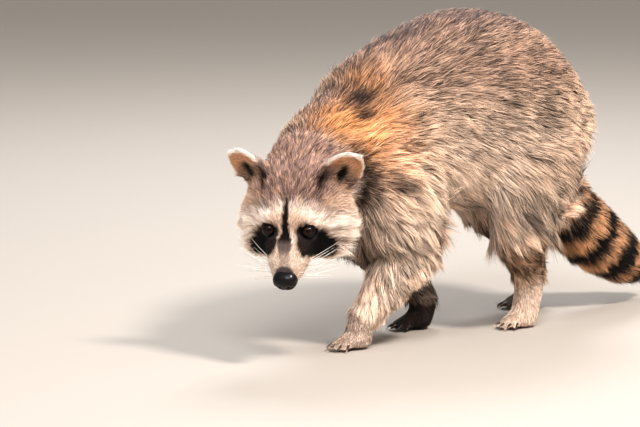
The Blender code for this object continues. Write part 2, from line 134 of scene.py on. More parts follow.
# Each place is a centre and radii in centimetres in the row frame, and a strength.
RUSTY_PLACES = (
    ((3.8, -19.0, 24.2), (3.4, 3.4, 2.8), 0.85),
    ((5.6, -15.2, 23.8), (3.2, 4.0, 3.0), 0.8),
    ((7.2, -13.5, 19.5), (3.0, 4.0, 4.5), 0.42),
    ((6.4, -17.2, 19.6), (2.0, 2.5, 2.5), 0.4),
    ((2.5, -14.0, 28.2), (3.0, 3.0, 2.4), 0.6),
    ((-3.0, -17.5, 23.0), (2.6, 3.4, 2.8), 0.5),
)
# Dark patches: partly the coat's own darker fur, partly painted shade in the crease behind the cheek and in
# the crease between the lower flank and the thigh.
DARK_FUR_AND_SHADE_PLACES = (
    ((3.8, -15.2, 26.3), (1.5, 1.3, 0.8), 1.3),
    ((5.2, -15.6, 24.9), (1.2, 1.3, 0.9), 1.2),
    ((9.4, 5.8, 23.4), (3.0, 1.7, 2.3), 0.38),
    ((9.4, 0.9, 25.2), (3.0, 1.3, 2.2), 0.28),
    ((5.9, -17.2, 16.8), (2.6, 2.0, 2.9), 1.5),
    ((6.6, -18.0, 19.6), (1.8, 1.6, 2.0), 1.0),
    ((-5.8, -16.4, 16.0), (2.4, 1.8, 3.0), 0.6),
    ((8.2, -15.2, 18.2), (2.0, 1.4, 1.0), 1.1),
    ((8.9, -12.8, 17.2), (2.0, 1.6, 0.9), 1.0),
    ((8.6, 2.6, 12.4), (2.2, 1.5, 1.6), 0.5),
    ((4.0, 13.2, 14.2), (3.2, 1.5, 2.6), 0.9),
    ((-4.0, 13.2, 14.2), (3.2, 1.5, 2.6), 0.8),
    ((7.8, 11.0, 15.3), (2.2, 1.7, 1.0), 1.1),
)
# Painted light: pools where the coat's light band is made brighter and its dark tips fewer, on the neck and
# shoulder and on the rear of the torso, which the lamps leave in shade.
PAINTED_LIGHT_PLACES = (
    ((6.5, -15.5, 21.0), (5.0, 6.0, 7.0), 1.0),
    ((7.0, 11.0, 19.0), (5.0, 6.0, 7.0), 0.5),
)
FRINGED_PLACES = (
    ((5.5, -7.5, 13.5), (3.0, 3.2, 3.0), 1.0),
    ((0.0, 0.5, 13.5), (7.0, 6.5, 2.6), 1.0),
    ((5.0, 9.5, 12.5), (3.2, 2.6, 3.4), 1.0),
    ((8.0, -8.5, 14.5), (3.0, 4.5, 3.6), 1.0),
)
# How dark each part of the legs on the far side is painted: partly their own darker fur, partly painted
# shade.
SHADED_NODES = {
    "forearm_right": 0.85,
    "forepaw_right": 0.97,
    "upperarm_right": 0.25,
    "shank_right": 0.6,
    "hindpaw_right": 0.55,
}
# The ovals that make up the mask on each side: middle (side, up the face), radii in centimetres, and tilt.
MASK_OVALS = (
    ((2.05, -0.30), (1.15, 1.05), 0.0),
    ((3.05, -1.15), (1.50, 1.40), -0.2),
    ((3.95, -1.50), (1.10, 1.05), -0.2),
    ((1.95, -1.45), (0.92, 1.15), 0.3),
)
# Where the first dark ring lies down the tail and how often they come, in centimetres.
FIRST_RING, RING_SPACING = 7.6, 3.95
# Half the width of the dark line down the face, in centimetres, by the height up the face.
LINE_HEIGHTS = (-4.6, -2.6, -1.4, -0.1, 1.7, 3.4, 4.0)
LINE_HALF_WIDTHS = (0.62, 0.42, 0.78, 0.36, 0.28, 0.10, 0.00)


def linear(code):
    """An sRGB hex colour as three linear values."""
    part = np.array([int(code[i : i + 2], 16) / 255 for i in (1, 3, 5)])
    return np.where(part <= 0.04045, part / 12.92, ((part + 0.055) / 1.055) ** 2.4)


WHITE, CREAM, STRAW, TAN = linear("#fbf2ea"), linear("#f2dcca"), linear("#dcb493"), linear("#b98968")
RUST, GREY, SLATE, UMBER = linear("#cf8c4e"), linear("#9b7e7b"), linear("#4b4048"), linear("#5d4035")
DARK, BLACK, FLESH = linear("#2a1b17"), linear("#110c0d"), linear("#7d5a55")


def unit(rows):
    """Rows of vectors, each scaled to a length of one."""
    rows = np.asarray(rows, float)
    return rows / np.maximum(np.linalg.norm(rows, axis=-1, keepdims=True), 1e-12)


def ramp(value, low, high):
    """0 below low, 1 above high, and a smooth step between them."""
    t = np.clip((value - low) / (high - low), 0, 1)
    return t * t * (3 - 2 * t)


def fall(value, low, high):
    """1 below low, 0 above high, and a smooth step between them."""
    return 1 - ramp(value, low, high)


def size_of(rows):
    """The length of each row's vector."""
    return np.linalg.norm(rows, axis=-1)


def blend(a, b, share):
    """Rows of a moved towards b by each row's share."""
    share = np.asarray(share)[..., None]
    return a * (1 - share) + b * share


def blob(points, centre, radii):
    """1 at a centre in the row frame, falling off as a Gaussian with these radii, all in centimetres."""
    away = (points / CM - np.array(centre)) / np.array(radii)
    return np.exp(-(away**2).sum(1))


def blobs(points, places):
    """The sum of several blobs, each given by its centre, radii and strength."""
    return sum(strength * blob(points, centre, radii) for centre, radii, strength in places)


def turned(a, b, angle):
    """Two directions, or two measures, turned by an angle within their plane."""
    return a * math.cos(angle) + b * math.sin(angle), b * math.cos(angle) - a * math.sin(angle)


def along_surface(vectors, normal, share=1.0):
    """Vectors without the part along the normal, or without a share of it."""
    return vectors - share * normal * (vectors * normal).sum(1)[:, None]


def bell(*terms):
    """1 where every value is at its middle, falling off as a Gaussian, from terms (value, middle, width)."""
    return np.exp(-sum(((value - at) / width) ** 2 for value, at, width in terms))


def waves(points, length, seed, count=20):
    """Irregular ripples: a sum of sines along random headings, as its value and its slope, both about 1."""
    rng = np.random.default_rng(seed)
    number = unit(rng.normal(size=(count, 3))) * (2 * math.pi / length) * rng.uniform(0.7, 1.4, (count, 1))
    angle = points @ number.T + rng.uniform(0, 2 * math.pi, count)
    size = math.sqrt(count / 2)
    return np.sin(angle).sum(1) / size, (np.cos(angle) @ number) / size * (length / (2 * math.pi))


def middle(node):
    """The middle of a node's box."""
    low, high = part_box(node)
    return np.array((low + high) / 2)


def zone_of(node):
    """The zone a node belongs to: its name without left, right or its place in the tail."""
    return node.split("_")[0]


def share_of(weight, *zones):
    """How much each point belongs to these zones of the body."""
    return sum(weight[node] for node in weight if zone_of(node) in zones)


def points_of(mesh):
    """The vertices of a mesh as rows."""
    found = np.empty(len(mesh.vertices) * 3)
    mesh.vertices.foreach_get("co", found)
    return found.reshape(-1, 3)


def with_modifiers(piece):
    """An object as it is once its modifiers are applied."""
    return piece.evaluated_get(bpy.context.evaluated_depsgraph_get())


def corners_of(mesh, sides):
    """The vertex numbers at the corners of a mesh's faces, which all have this many sides."""
    found = np.empty(len(mesh.loops), int)
    mesh.loops.foreach_get("vertex_index", found)
    return found.reshape(-1, sides)


EYES = middle("eye_right"), middle("eye_left")
EYE_MIDDLE = (EYES[0] + EYES[1]) / 2
SIDE = unit(EYES[1] - EYES[0])
YAW = math.atan2(SIDE[1], SIDE[0])
BACK = np.array([
    -math.sin(YAW) * math.cos(HEAD_PITCH), math.cos(YAW) * math.cos(HEAD_PITCH), math.sin(HEAD_PITCH)
])
UP = np.cross(SIDE, BACK)
HEAD_AXES = np.stack([SIDE, BACK, UP])


def to_head(points):
    """Row-frame metres as head coordinates."""
    return (points - EYE_MIDDLE) @ HEAD_AXES.T / CM


def from_head(points):
    """Head coordinates as row-frame metres."""
    return EYE_MIDDLE + np.asarray(points) * CM @ HEAD_AXES


def eye_opening_way(side):
    """The way the opening between the lids faces, in the row frame."""
    return unit(np.array([side * EYE_WAY[0], *EYE_WAY[1:]]) @ HEAD_AXES)


def up_face(q):
    """How far up the face head coordinates are, as the face slopes back from the nose to the crown."""
    return 0.853 * q[:, 1] + 0.521 * q[:, 2]


def ear_axes(side):
    """The ear's own axes as rows in head coordinates: across, away from the opening, and up the ear."""
    a, b, c = side * EAR_FLARE, -EAR_LEAN, side * EAR_TURN
    flare = np.array([[math.cos(a), 0, math.sin(a)], [0, 1, 0], [-math.sin(a), 0, math.cos(a)]])
    lean = np.array([[1, 0, 0], [0, math.cos(b), -math.sin(b)], [0, math.sin(b), math.cos(b)]])
    turn = np.array([[math.cos(c), -math.sin(c), 0], [math.sin(c), math.cos(c), 0], [0, 0, 1]])
    return (flare @ lean @ turn).T


def ear_half_width(up):
    """Half the ear's width: even to near half its height, then narrowing as a circle does."""
    return EAR_HALF_WIDTH * np.sqrt(1 - np.clip((up - 0.45) / 0.57, 0, 0.99) ** 2)


def ear_cup(over, up):
    """How far back the leaf lies: a cup fading towards the tip, less a curl by the square of the height."""
    rise = np.clip(up, 0, 1) ** 2
    return EAR_CUP * (1 - over**2) * (1 - 0.65 * rise) - 0.4 * rise


def on_ear(points, side):
    """Where points lie about an ear: across it, above 0 towards the outer edge, up it from 0 at the base to 1
    at the tip, behind the leaf's middle and inwards of the rim. All but the height are in centimetres."""
    local = (to_head(points) - (side * EAR_AT[0], *EAR_AT[1:])) @ ear_axes(side).T
    across, up = local[:, 0] * side, local[:, 2] / EAR_HEIGHT
    half = ear_half_width(up)
    over = np.arcsin(np.clip(np.abs(across) / np.maximum(half, 0.2), 0, 1) * math.sin(EAR_ARC)) / EAR_ARC
    return across, up, local[:, 1] - ear_cup(over, up), half - np.abs(across)


def along_tail(points):
    """How far down the tail each point is and how far from the tail's line, in centimetres."""
    best, found = np.full(len(points), np.inf), np.zeros(len(points))
    start = 0.0
    for a, b in zip(TAIL_LINE[:-1], TAIL_LINE[1:]):
        run = b - a
        t = np.clip((points - a) @ run / (run @ run), 0, 1)
        away = size_of(points - a - t[:, None] * run)
        closer = away < best
        best, found = np.where(closer, away, best), np.where(closer, start + t * size_of(run), found)
        start += size_of(run)
    return found / CM, best / CM


# ---- materials ----


def set_up(node, settings):
    """Sets a node's properties or inputs by name, an input's spaces written as underscores."""
    for name, value in settings.items():
        if hasattr(node, name):
            setattr(node, name, value)
        else:
            node.inputs[name.replace("_", " ")].default_value = value


def add(tree, kind, links=(), **settings):
    """Adds a shader node with these settings, and links (input, socket) pairs into it."""
    node = tree.nodes.new("ShaderNode" + kind)
    set_up(node, settings)
    for name, socket in links:
        tree.links.new(socket, node.inputs[name])
    return node


def new_material(name, **settings):
    """A material with one Principled shader, whose sockets take the settings."""
    material = bpy.data.materials.new(name)
    material.use_nodes = True
    shader = material.node_tree.nodes["Principled BSDF"]
    set_up(shader, settings)
    return material, material.node_tree, shader


def colour(code):
    """An sRGB hex colour as a socket takes it."""
    return (*linear(code), 1.0)


def tint_by(tree, shader, socket, stops):
    """Colours a shader by a socket through a ramp with these (position, sRGB hex) stops."""
    node = add(tree, "ValToRGB", [("Fac", socket)])
    elements = node.color_ramp.elements
    while len(elements) < len(stops):
        elements.new(0.5)
    for element, (at, code) in zip(elements, stops):
        element.position = at
        element.color = colour(code)
    tree.links.new(node.outputs["Color"], shader.inputs["Base Color"])


def on_body(tree, kind, size, **settings):
    """A texture node whose pattern has this size on the body, in metres."""
    place = add(tree, "TexCoord")
    return add(tree, kind, [("Vector", place.outputs["Object"])], Scale=1 / size, **settings)


def fleck_tint(tree, shader, size, detail, low, high):
    """Colours a shader by the attribute coat, made lighter and darker by a noise of this size from low to
    high, and returns the noise."""
    tint = add(tree, "Attribute", attribute_name="coat")
    noise = on_body(tree, "TexNoise", size, Detail=detail)
    level = add(tree, "MapRange", [("Value", noise.outputs["Fac"])], To_Min=low, To_Max=high)
    sides = [(0, tint.outputs["Color"]), (1, level.outputs["Result"])]
    mixed = add(tree, "VectorMath", sides, operation="MULTIPLY")
    tree.links.new(mixed.outputs["Vector"], shader.inputs["Base Color"])
    return noise


def fur_material():
    """Guard hair: dry keratin with a soft gloss. It gives the eye grizzled strands, no two quite the same."""
    looks = {"Roughness": 0.62, "IOR": 1.45, "Specular_IOR_Level": 0.35, "Sheen_Weight": 0.12}
    material, tree, shader = new_material("raccoon_guard_hair", **looks, Sheen_Roughness=0.4)
    fleck_tint(tree, shader, FLECK, 2.0, 0.82, 1.18)
    return material


def hide_material():
    """Hide under short underfur: matt, faintly felted. It shows only where the coat parts."""
    looks = {"Roughness": 0.85, "Specular_IOR_Level": 0.25}
    material, tree, shader = new_material("raccoon_hide_and_underfur", **looks)
    felt = fleck_tint(tree, shader, FELT, 4.0, 0.6, 1.3)
    bump = add(tree, "Bump", [("Height", felt.outputs["Fac"])], Strength=0.5, Distance=0.6 * MM)
    tree.links.new(bump.outputs["Normal"], shader.inputs["Normal"])
    return material


def eye_material():
    """A living eye: a dark brown iris with some 38 fine spokes round a wide pupil, under a wet cornea."""
    looks = {"Roughness": 0.4, "IOR": 1.38, "Specular_IOR_Level": 0.1}
    material, tree, shader = new_material("wet_eye", **looks, Coat_Weight=0.34, Coat_Roughness=0.02)
    place = add(tree, "UVMap", uv_map="iris")
    parts = add(tree, "SeparateXYZ", [("Vector", place.outputs["UV"])])
    spokes = add(tree, "TexNoise", [("Vector", place.outputs["UV"])], Scale=38.0, Detail=3.0)
    shift = add(tree, "Math", [(0, spokes.outputs["Fac"])], operation="MULTIPLY_ADD")
    shift.inputs[1].default_value = 0.05
    tree.links.new(parts.outputs["Y"], shift.inputs[2])
    # Angles off the gaze in radians: the pupil to 0.22, the iris to 0.60, then the dark ring round it.
    stops = ((0.0, "#040203"), (0.22, "#060303"), (0.28, "#1f0d08"), (0.46, "#34170d"), (0.60, "#150907"))
    tint_by(tree, shader, shift.outputs["Value"], (*stops, (0.68, "#080505")))
    return material


def nose_material():
    """Bare, moist nose skin: near black, with pebbles about 0.7 mm across."""
    looks = {"Roughness": 0.42, "IOR": 1.4, "Specular_IOR_Level": 0.3}
    material, tree, shader = new_material("moist_nose_skin", **looks, Coat_Weight=0.22, Coat_Roughness=0.15)
    pebble = on_body(tree, "TexVoronoi", PEBBLE)
    tint_by(tree, shader, pebble.outputs["Distance"], ((0.0, "#121014"), (1.0, "#070608")))
    height = [("Height", pebble.outputs["Distance"])]
    bump = add(tree, "Bump", height, invert=True, Strength=0.35, Distance=0.3 * MM)
    tree.links.new(bump.outputs["Normal"], shader.inputs["Normal"])
    return material


def horn_material(name, pale, deep):
    """Horn of a claw or a whisker: smooth keratin, clouded every 4 mm or so from end to end."""
    material, tree, shader = new_material(name, Roughness=0.35, IOR=1.54)
    cloud = on_body(tree, "TexNoise", CLOUD, Detail=3.0)
    tint_by(tree, shader, cloud.outputs["Fac"], ((0.35, deep), (0.65, pale)))
    return material


# ---- meshes ----


def new_piece(name, points, faces, material, smooth=True):
    """An object at the origin from rows of points and rows of corner numbers, all equally long."""
    mesh = bpy.data.meshes.new(name)
    sides = faces.shape[1]
    mesh.vertices.add(len(points))
    mesh.vertices.foreach_set("co", np.asarray(points, np.float32).ravel())
    mesh.loops.add(faces.size)
    mesh.loops.foreach_set("vertex_index", faces.astype(np.int32).ravel())
    mesh.polygons.add(len(faces))
    mesh.polygons.foreach_set("loop_start", np.arange(len(faces), dtype=np.int32) * sides)
    mesh.update(calc_edges=True)
    mesh.materials.append(material)
    if smooth:
        mesh.shade_smooth()
    made = bpy.data.objects.new(name, mesh)
    bpy.context.scene.collection.objects.link(made)
    return made


def closed_piece(name, points, faces, material):
    """A new piece whose open ends are filled and whose faces all point outwards."""
    piece = new_piece(name, points, faces, material)
    mesh = bmesh.new()
    mesh.from_mesh(piece.data)
    bmesh.ops.holes_fill(mesh, edges=[e for e in mesh.edges if e.is_boundary], sides=0)
    bmesh.ops.recalc_face_normals(mesh, faces=mesh.faces)
    mesh.to_mesh(piece.data)
    mesh.free()
    return piece


def ball_angles(rings, sides, gap):
    """The angles of a ball's grid: off its axis, a gap short of both poles, and round it."""
    return np.linspace(gap, math.pi - gap, rings)[:, None], np.arange(sides)[None] * 2 * math.pi / sides


def set_tint(piece, rows):
    """Stores one colour for each vertex as the attribute coat."""
    layer = piece.data.attributes.new("coat", "FLOAT_COLOR", "POINT")
    layer.data.foreach_set("color", np.hstack([rows, np.ones((len(rows), 1))]).astype(np.float32).ravel())


def grid_faces(rows, columns, closed=True):
    """Quads of a grid of points; the columns join up into a ring if closed."""
    i, j = np.meshgrid(np.arange(rows - 1), np.arange(columns if closed else columns - 1), indexing="ij")
    right = (j + 1) % columns
    here, above = i * columns, (i + 1) * columns
    return np.stack([here + j, here + right, above + right, above + j], -1).reshape(-1, 4)


def tapered_tubes(starts, ways, bends, lengths, radii, rings=9, sides=6):
    """Curved cones: centre = start + way t + bend t squared, radius falling as (1 - t) to the power 0.7."""
    t = np.linspace(0, 1, rings)[None, :, None]
    centre = starts[:, None] + lengths[:, None, None] * (ways[:, None] * t + bends[:, None] * t**2)
    along = unit(ways[:, None] + 2 * bends[:, None] * t)
    across = unit(np.cross(along, np.array([0.13, 0.21, 0.97])))
    other = np.cross(along, across)
    angle = np.arange(sides) * 2 * math.pi / sides
    size = radii[:, None, None] * np.maximum(1 - t, 0.0004) ** 0.7
    ring = across[:, :, None] * np.cos(angle)[:, None] + other[:, :, None] * np.sin(angle)[:, None]
    points = (centre[:, :, None] + size[..., None] * ring).reshape(-1, 3)
    quads = grid_faces(rings, sides)
    faces = (quads[None] + (np.arange(len(starts)) * rings * sides)[:, None, None]).reshape(-1, 4)
    return points, faces


def ear_leaf(side):
    """A cupped leaf: across it the half width times a sine, back by the cup, and up in even steps. It narrows
    towards a root that is sunk in the head."""
    rows, columns = 30, 29
    up = np.linspace(-0.4, 1, rows)[:, None]
    over = np.linspace(-1, 1, columns)[None]
    half = ear_half_width(up) * (1 - 0.12 * np.clip(0.45 - up, 0, 1)) * (1 - 0.45 * ramp(-up, 0.0, 0.4))
    x = half * np.sin(EAR_ARC * over) / math.sin(EAR_ARC)
    local = np.stack(np.broadcast_arrays(x, ear_cup(over, up), EAR_HEIGHT * up), -1).reshape(-1, 3)
    points = from_head(local @ ear_axes(side) + (side * EAR_AT[0], *EAR_AT[1:]))
    leaf = new_piece("leaf", points, grid_faces(rows, columns, False), bpy.data.materials[0], False)
    wall = leaf.modifiers.new("wall", "SOLIDIFY")
    wall.thickness = EAR_WALL
    wall.offset = 0
    return leaf


def flesh_form(nodes):
    """The nodes' shapes and the ear leaves melted into one closed surface of quads, as points and faces."""
    mesh = bmesh.new()
    for side in (-1, 1):
        leaf = ear_leaf(side)
        mesh.from_mesh(with_modifiers(leaf).data)
        bpy.data.objects.remove(leaf)
    for node in nodes:
        if zone_of(node) != "ear":
            mesh.from_mesh(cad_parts[node].data)
    bmesh.ops.remove_doubles(mesh, verts=mesh.verts, dist=1e-5)
    data = bpy.data.meshes.new("form")
    mesh.to_mesh(data)
    mesh.free()
    form = bpy.data.objects.new("form", data)
    bpy.context.scene.collection.objects.link(form)
    swell = form.modifiers.new("swell", "DISPLACE")
    swell.strength = CUT_SWELL
    swell.mid_level = 0
    melt = form.modifiers.new("melt", "REMESH")
    melt.mode = "VOXEL"
    melt.voxel_size = VOXEL
    melted = with_modifiers(form).to_mesh()
    points, corners = points_of(melted), corners_of(melted, 4)
    with_modifiers(form).to_mesh_clear()
    bpy.data.objects.remove(form)
    return points, corners


def refine(points, faces, inside):
    """Splits the quads in the region in four, as triangles throughout, and keeps the mesh closed."""
    mesh = bmesh.new()
    data = bpy.data.meshes.new("refined")
    data.from_pydata(points, [], faces.tolist())
    mesh.from_mesh(data)
    mesh.verts.ensure_lookup_table()
    edges = [e for e in mesh.edges if inside[e.verts[0].index] and inside[e.verts[1].index]]
    bmesh.ops.subdivide_edges(mesh, edges=edges, cuts=1, use_grid_fill=True)
    bmesh.ops.triangulate(mesh, faces=mesh.faces)
    mesh.to_mesh(data)
    mesh.free()
    found, corners = points_of(data), corners_of(data, 3)
    bpy.data.meshes.remove(data)
    return found, corners


class Web:
    """Which vertices of a mesh are joined, for evening out values and for measuring along the surface."""

    def __init__(self, faces, count):
        pairs = np.vstack([faces[:, [i, (i + 1) % faces.shape[1]]] for i in range(faces.shape[1])])
        pairs = np.unique(np.sort(pairs, axis=1), axis=0)
        both = np.vstack([pairs, pairs[:, ::-1]])
        both = both[np.argsort(both[:, 0], kind="stable")]
        self.to, self.near = both.T
        self.start = np.searchsorted(self.to, np.arange(count))
        self.count = np.bincount(self.to, minlength=count)

    def even(self, values, times, share=0.5):
        """Each value moves towards the mean of its neighbours, again and again."""
        values = values.astype(float)
        flat = values.ndim == 1
        for _ in range(times):
            total = np.add.reduceat(values[self.near], self.start, axis=0)
            mean = total / (self.count if flat else self.count[:, None])
            values = values + (share if np.ndim(share) == 0 or flat else share[:, None]) * (mean - values)
        return values

    def distance(self, points, source):
        """The length of the shortest way along the edges from one vertex to every other."""
        step = size_of(points[self.to] - points[self.near])
        found = np.full(len(points), 10.0)
        found[source] = 0
        for _ in range(1200):
            nearer = np.minimum(found, np.minimum.reduceat(found[self.near] + step, self.start))
            if np.array_equal(nearer, found):
                break
            found = nearer
        return found


def normals_of(points, faces):
    """Unit normals at the vertices, each face counting by its area."""
    first, second = points[faces[:, 2]] - points[faces[:, 0]], points[faces[:, -1]] - points[faces[:, 1]]
    across = np.cross(first, second)
    total = np.zeros_like(points)
    for k in range(faces.shape[1]):
        for axis in range(3):
            total[:, axis] += np.bincount(faces[:, k], across[:, axis], len(points))
    return unit(total)


def nearest_node(points, nodes):
    """The number of the node whose vertices come closest to each point."""
    clouds, owner = [], []
    for number, node in enumerate(nodes):
        clouds.append(np.unique(points_of(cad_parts[node].data).round(6), axis=0))
        owner.append(np.full(len(clouds[-1]), number))
    cloud, owner = np.vstack(clouds), np.concatenate(owner)
    found = np.empty(len(points), int)
    for i in range(0, len(points), 4000):
        rows = points[i : i + 4000]
        found[i : i + 4000] = owner[np.argmin((cloud**2).sum(1) - 2 * rows @ cloud.T, axis=1)]
    return found


def face_share(points):
    """How much of the short fur of the face a point has: 1 on the muzzle, 0 on the crown and cheeks."""
    q = to_head(points)
    muzzle = fall(q[:, 1], -2.2, 0.4)
    front = fall(np.abs(q[:, 0]), 2.2, 4.6) * fall(q[:, 1], 0.6, 3.4)
    return muzzle, np.maximum(muzzle, front)


def shape_eyelids(points):
    """Draws the hide over each eyeball to a rim round an oval opening, and tucks the rest in behind it."""
    for side, centre in zip((-1, 1), EYES):
        way = eye_opening_way(side)
        across = unit(SIDE * side - way * (SIDE * side @ way))
        across, over = turned(across, np.cross(way, across) * side, EYE_TILT)
        away = (points - centre) / MM
        a, b, c = away @ across, away @ over, away @ way
        reach = size_of(away)
        oval = np.hypot(a / EYE_OPENING[0], b / EYE_OPENING[1])
        close = (reach < 22) & (c > -1.5)
        radius = EYE_RADIUS / MM
        rim = radius + 0.75 - 0.35 * ramp(oval, 1.0, 1.5)
        share = close * fall(oval, 1.45, 2.5)
        target = np.where(oval < 1.0, radius * 0.80, np.where(reach < rim, rim, reach * 0.35 + rim * 0.65))
        wanted = centre + away / np.maximum(reach, 1e-6)[:, None] * target[:, None] * MM
        points = blend(points, wanted, share)
    return points


def shape_mouth(points, normal):
    """Presses the lip line in along each side of the muzzle and under the nose."""
    q = to_head(points)
    line = -3.15 - 0.16 * (q[:, 1] + 4.0)
    share = bell((q[:, 2], line, 0.16)) * ramp(q[:, 1], -4.6, -4.0) * fall(q[:, 1], -0.4, 0.6)
    share = share + 0.8 * bell((q[:, 0], 0, 0.10)) * fall(q[:, 2], -2.9, -2.6) * (q[:, 1] < -3.8)
    return points - normal * (share * 1.3 * MM)[:, None]


# ---- markings ----


def lay(coat, share, darker=0.0, **tones):
    """Moves colours of the coat towards others by a share, each tone given with how far the share counts for
    it, and makes more of its tips dark."""
    for name, (tone, by) in tones.items():
        coat[name] = blend(coat[name], tone, by * share)
    coat["dark"] = coat["dark"] + darker * share


def paint(coat, share, band, root, tip, dark):
    """Moves all the coat's colours, and its share of dark tips, towards others by a share."""
    lay(coat, share, band=(band, 1), root=(root, 1), tip=(tip, 1))
    coat["dark"] = coat["dark"] * (1 - share) + dark * share


def markings(points, normal, weight):
    """The coat's colours at each point, at the root, in the light band and at the tip, and its dark tips."""
    mix = {zone: share_of(weight, zone) for zone in ZONES}
    high = points[:, 2] / CM
    broad, small = waves(points, 70 * MM, 21)[0], waves(points, 9 * MM, 22)[0]
    coat = {"root": UMBER * 0.55, "tip": DARK * 0.8, "dark": 0.36 + 0.06 * broad + 0.05 * small}
    coat["band"] = (CREAM * 0.5 + STRAW * 0.5) * (1 + 0.05 * broad)[:, None]

    # Greyer along the back, tan above the flanks and pale below.
    torso, arm = mix["trunk"] + mix["neck"] + mix["thigh"] + mix["upperarm"], mix["upperarm"]
    ridge = torso * np.maximum(ramp(normal[:, 2], 0.62, 0.96), 0.45 * ramp(high, 24.5, 29))
    lay(coat, ridge, 0.30, band=(GREY * 1.15, 0.62), tip=(SLATE * 0.7, 0.7))
    lay(coat, torso * ramp(high, 22, 29), band=(TAN, 0.40))
    # The upper arms are made pale with the lower flanks: partly their own pale fur, partly painted light
    # where the lamps only graze them.
    flank = np.maximum(torso * ramp(-normal[:, 2], -0.25, 0.5), 0.9 * arm)
    flank = np.maximum(flank, mix["neck"] * ramp(-normal[:, 2], 0.0, 0.5))
    lay(coat, flank, -0.18, band=(CREAM * (1.1 - 0.2 * arm[:, None]), 0.7), root=(UMBER * 0.85, 0.7))

    rusty = np.clip(blobs(points, RUSTY_PLACES) * (1 + 0.25 * small), 0, 1) * (1 - mix["head"])
    lay(coat, rusty, -0.14, band=(RUST * 1.15, 0.82), root=(RUST * 0.4, 0.6), tip=(UMBER, 0.4))
    # Painted light on the neck and shoulder and on the rear of the torso: a brighter band and fewer dark
    # tips.
    painted_light = blobs(points, PAINTED_LIGHT_PLACES) * (1 - mix["head"])
    coat["band"] = coat["band"] * (1 + 0.5 * painted_light)[:, None]
    lay(coat, painted_light, -0.08)
    # Dark fur, and painted shade in the creases behind the cheek and above the thigh.
    for place in DARK_FUR_AND_SHADE_PLACES:
        spot = np.clip(blobs(points, [place]) * (1 - mix["head"]), 0, 1)
        lay(coat, spot, 0.5, band=(UMBER * 0.45, 1), root=(DARK * 0.8, 1), tip=(BLACK, 0.6))

    # The forearms' light band is made paler: partly their own cream fur, partly painted light on a front that
    # the lamps leave in shade.
    lay(coat, mix["forearm"], -0.14, band=(CREAM * 1.42, 0.8))
    lay(coat, mix["shank"], 0.06, band=(STRAW * 0.95, 0.7))
    lay(coat, mix["forearm"] + mix["shank"], root=(UMBER * 1.2, 1))
    # The legs on the far side are darkened: their own darker fur and painted shade.
    for node, share in SHADED_NODES.items():
        lay(coat, share * weight[node], 0.3, band=(DARK, 1), root=(BLACK, 1))
    lay(coat, weight["forepaw_left"], -0.2, band=(CREAM * 0.95, 0.7), root=(FLESH * 1.3, 0.8))
    lay(coat, weight["hindpaw_left"], -0.34, band=(CREAM, 0.9), root=(STRAW * 0.8, 0.9))

    # The tail's dark rings are slightly wider than the pale ones between them, and its tip is dark.
    down, off = along_tail(points)
    ring = ramp(np.cos((down - FIRST_RING) * 2 * math.pi / RING_SPACING), -0.30, 0.12)
    ring = np.maximum(ring, ramp(down, 18.4, 19.0)) * ramp(down, 2.0, 2.8)
    on_root = fall(off, 4.4, 5.2) * ramp(down, 1.8, 2.8) * ramp(points[:, 1] / CM, 11.5, 12.5)
    tail = np.maximum(mix["tail"], on_root * mix["trunk"])
    warm = blend(STRAW, RUST, 0.38) * 1.12
    tips = np.clip(0.16 + 0.8 * ring + 0.25 * ramp(normal[:, 2], 0.0, 0.8), 0, 1)
    paint(coat, tail, blend(warm, BLACK * 1.2, ring), blend(UMBER, BLACK, ring), BLACK, tips)

    head_markings(points, mix["head"], coat)
    ear_markings(points, mix["head"], weight, coat)
    return coat["root"], coat["band"], coat["tip"], np.clip(coat["dark"], 0, 1)


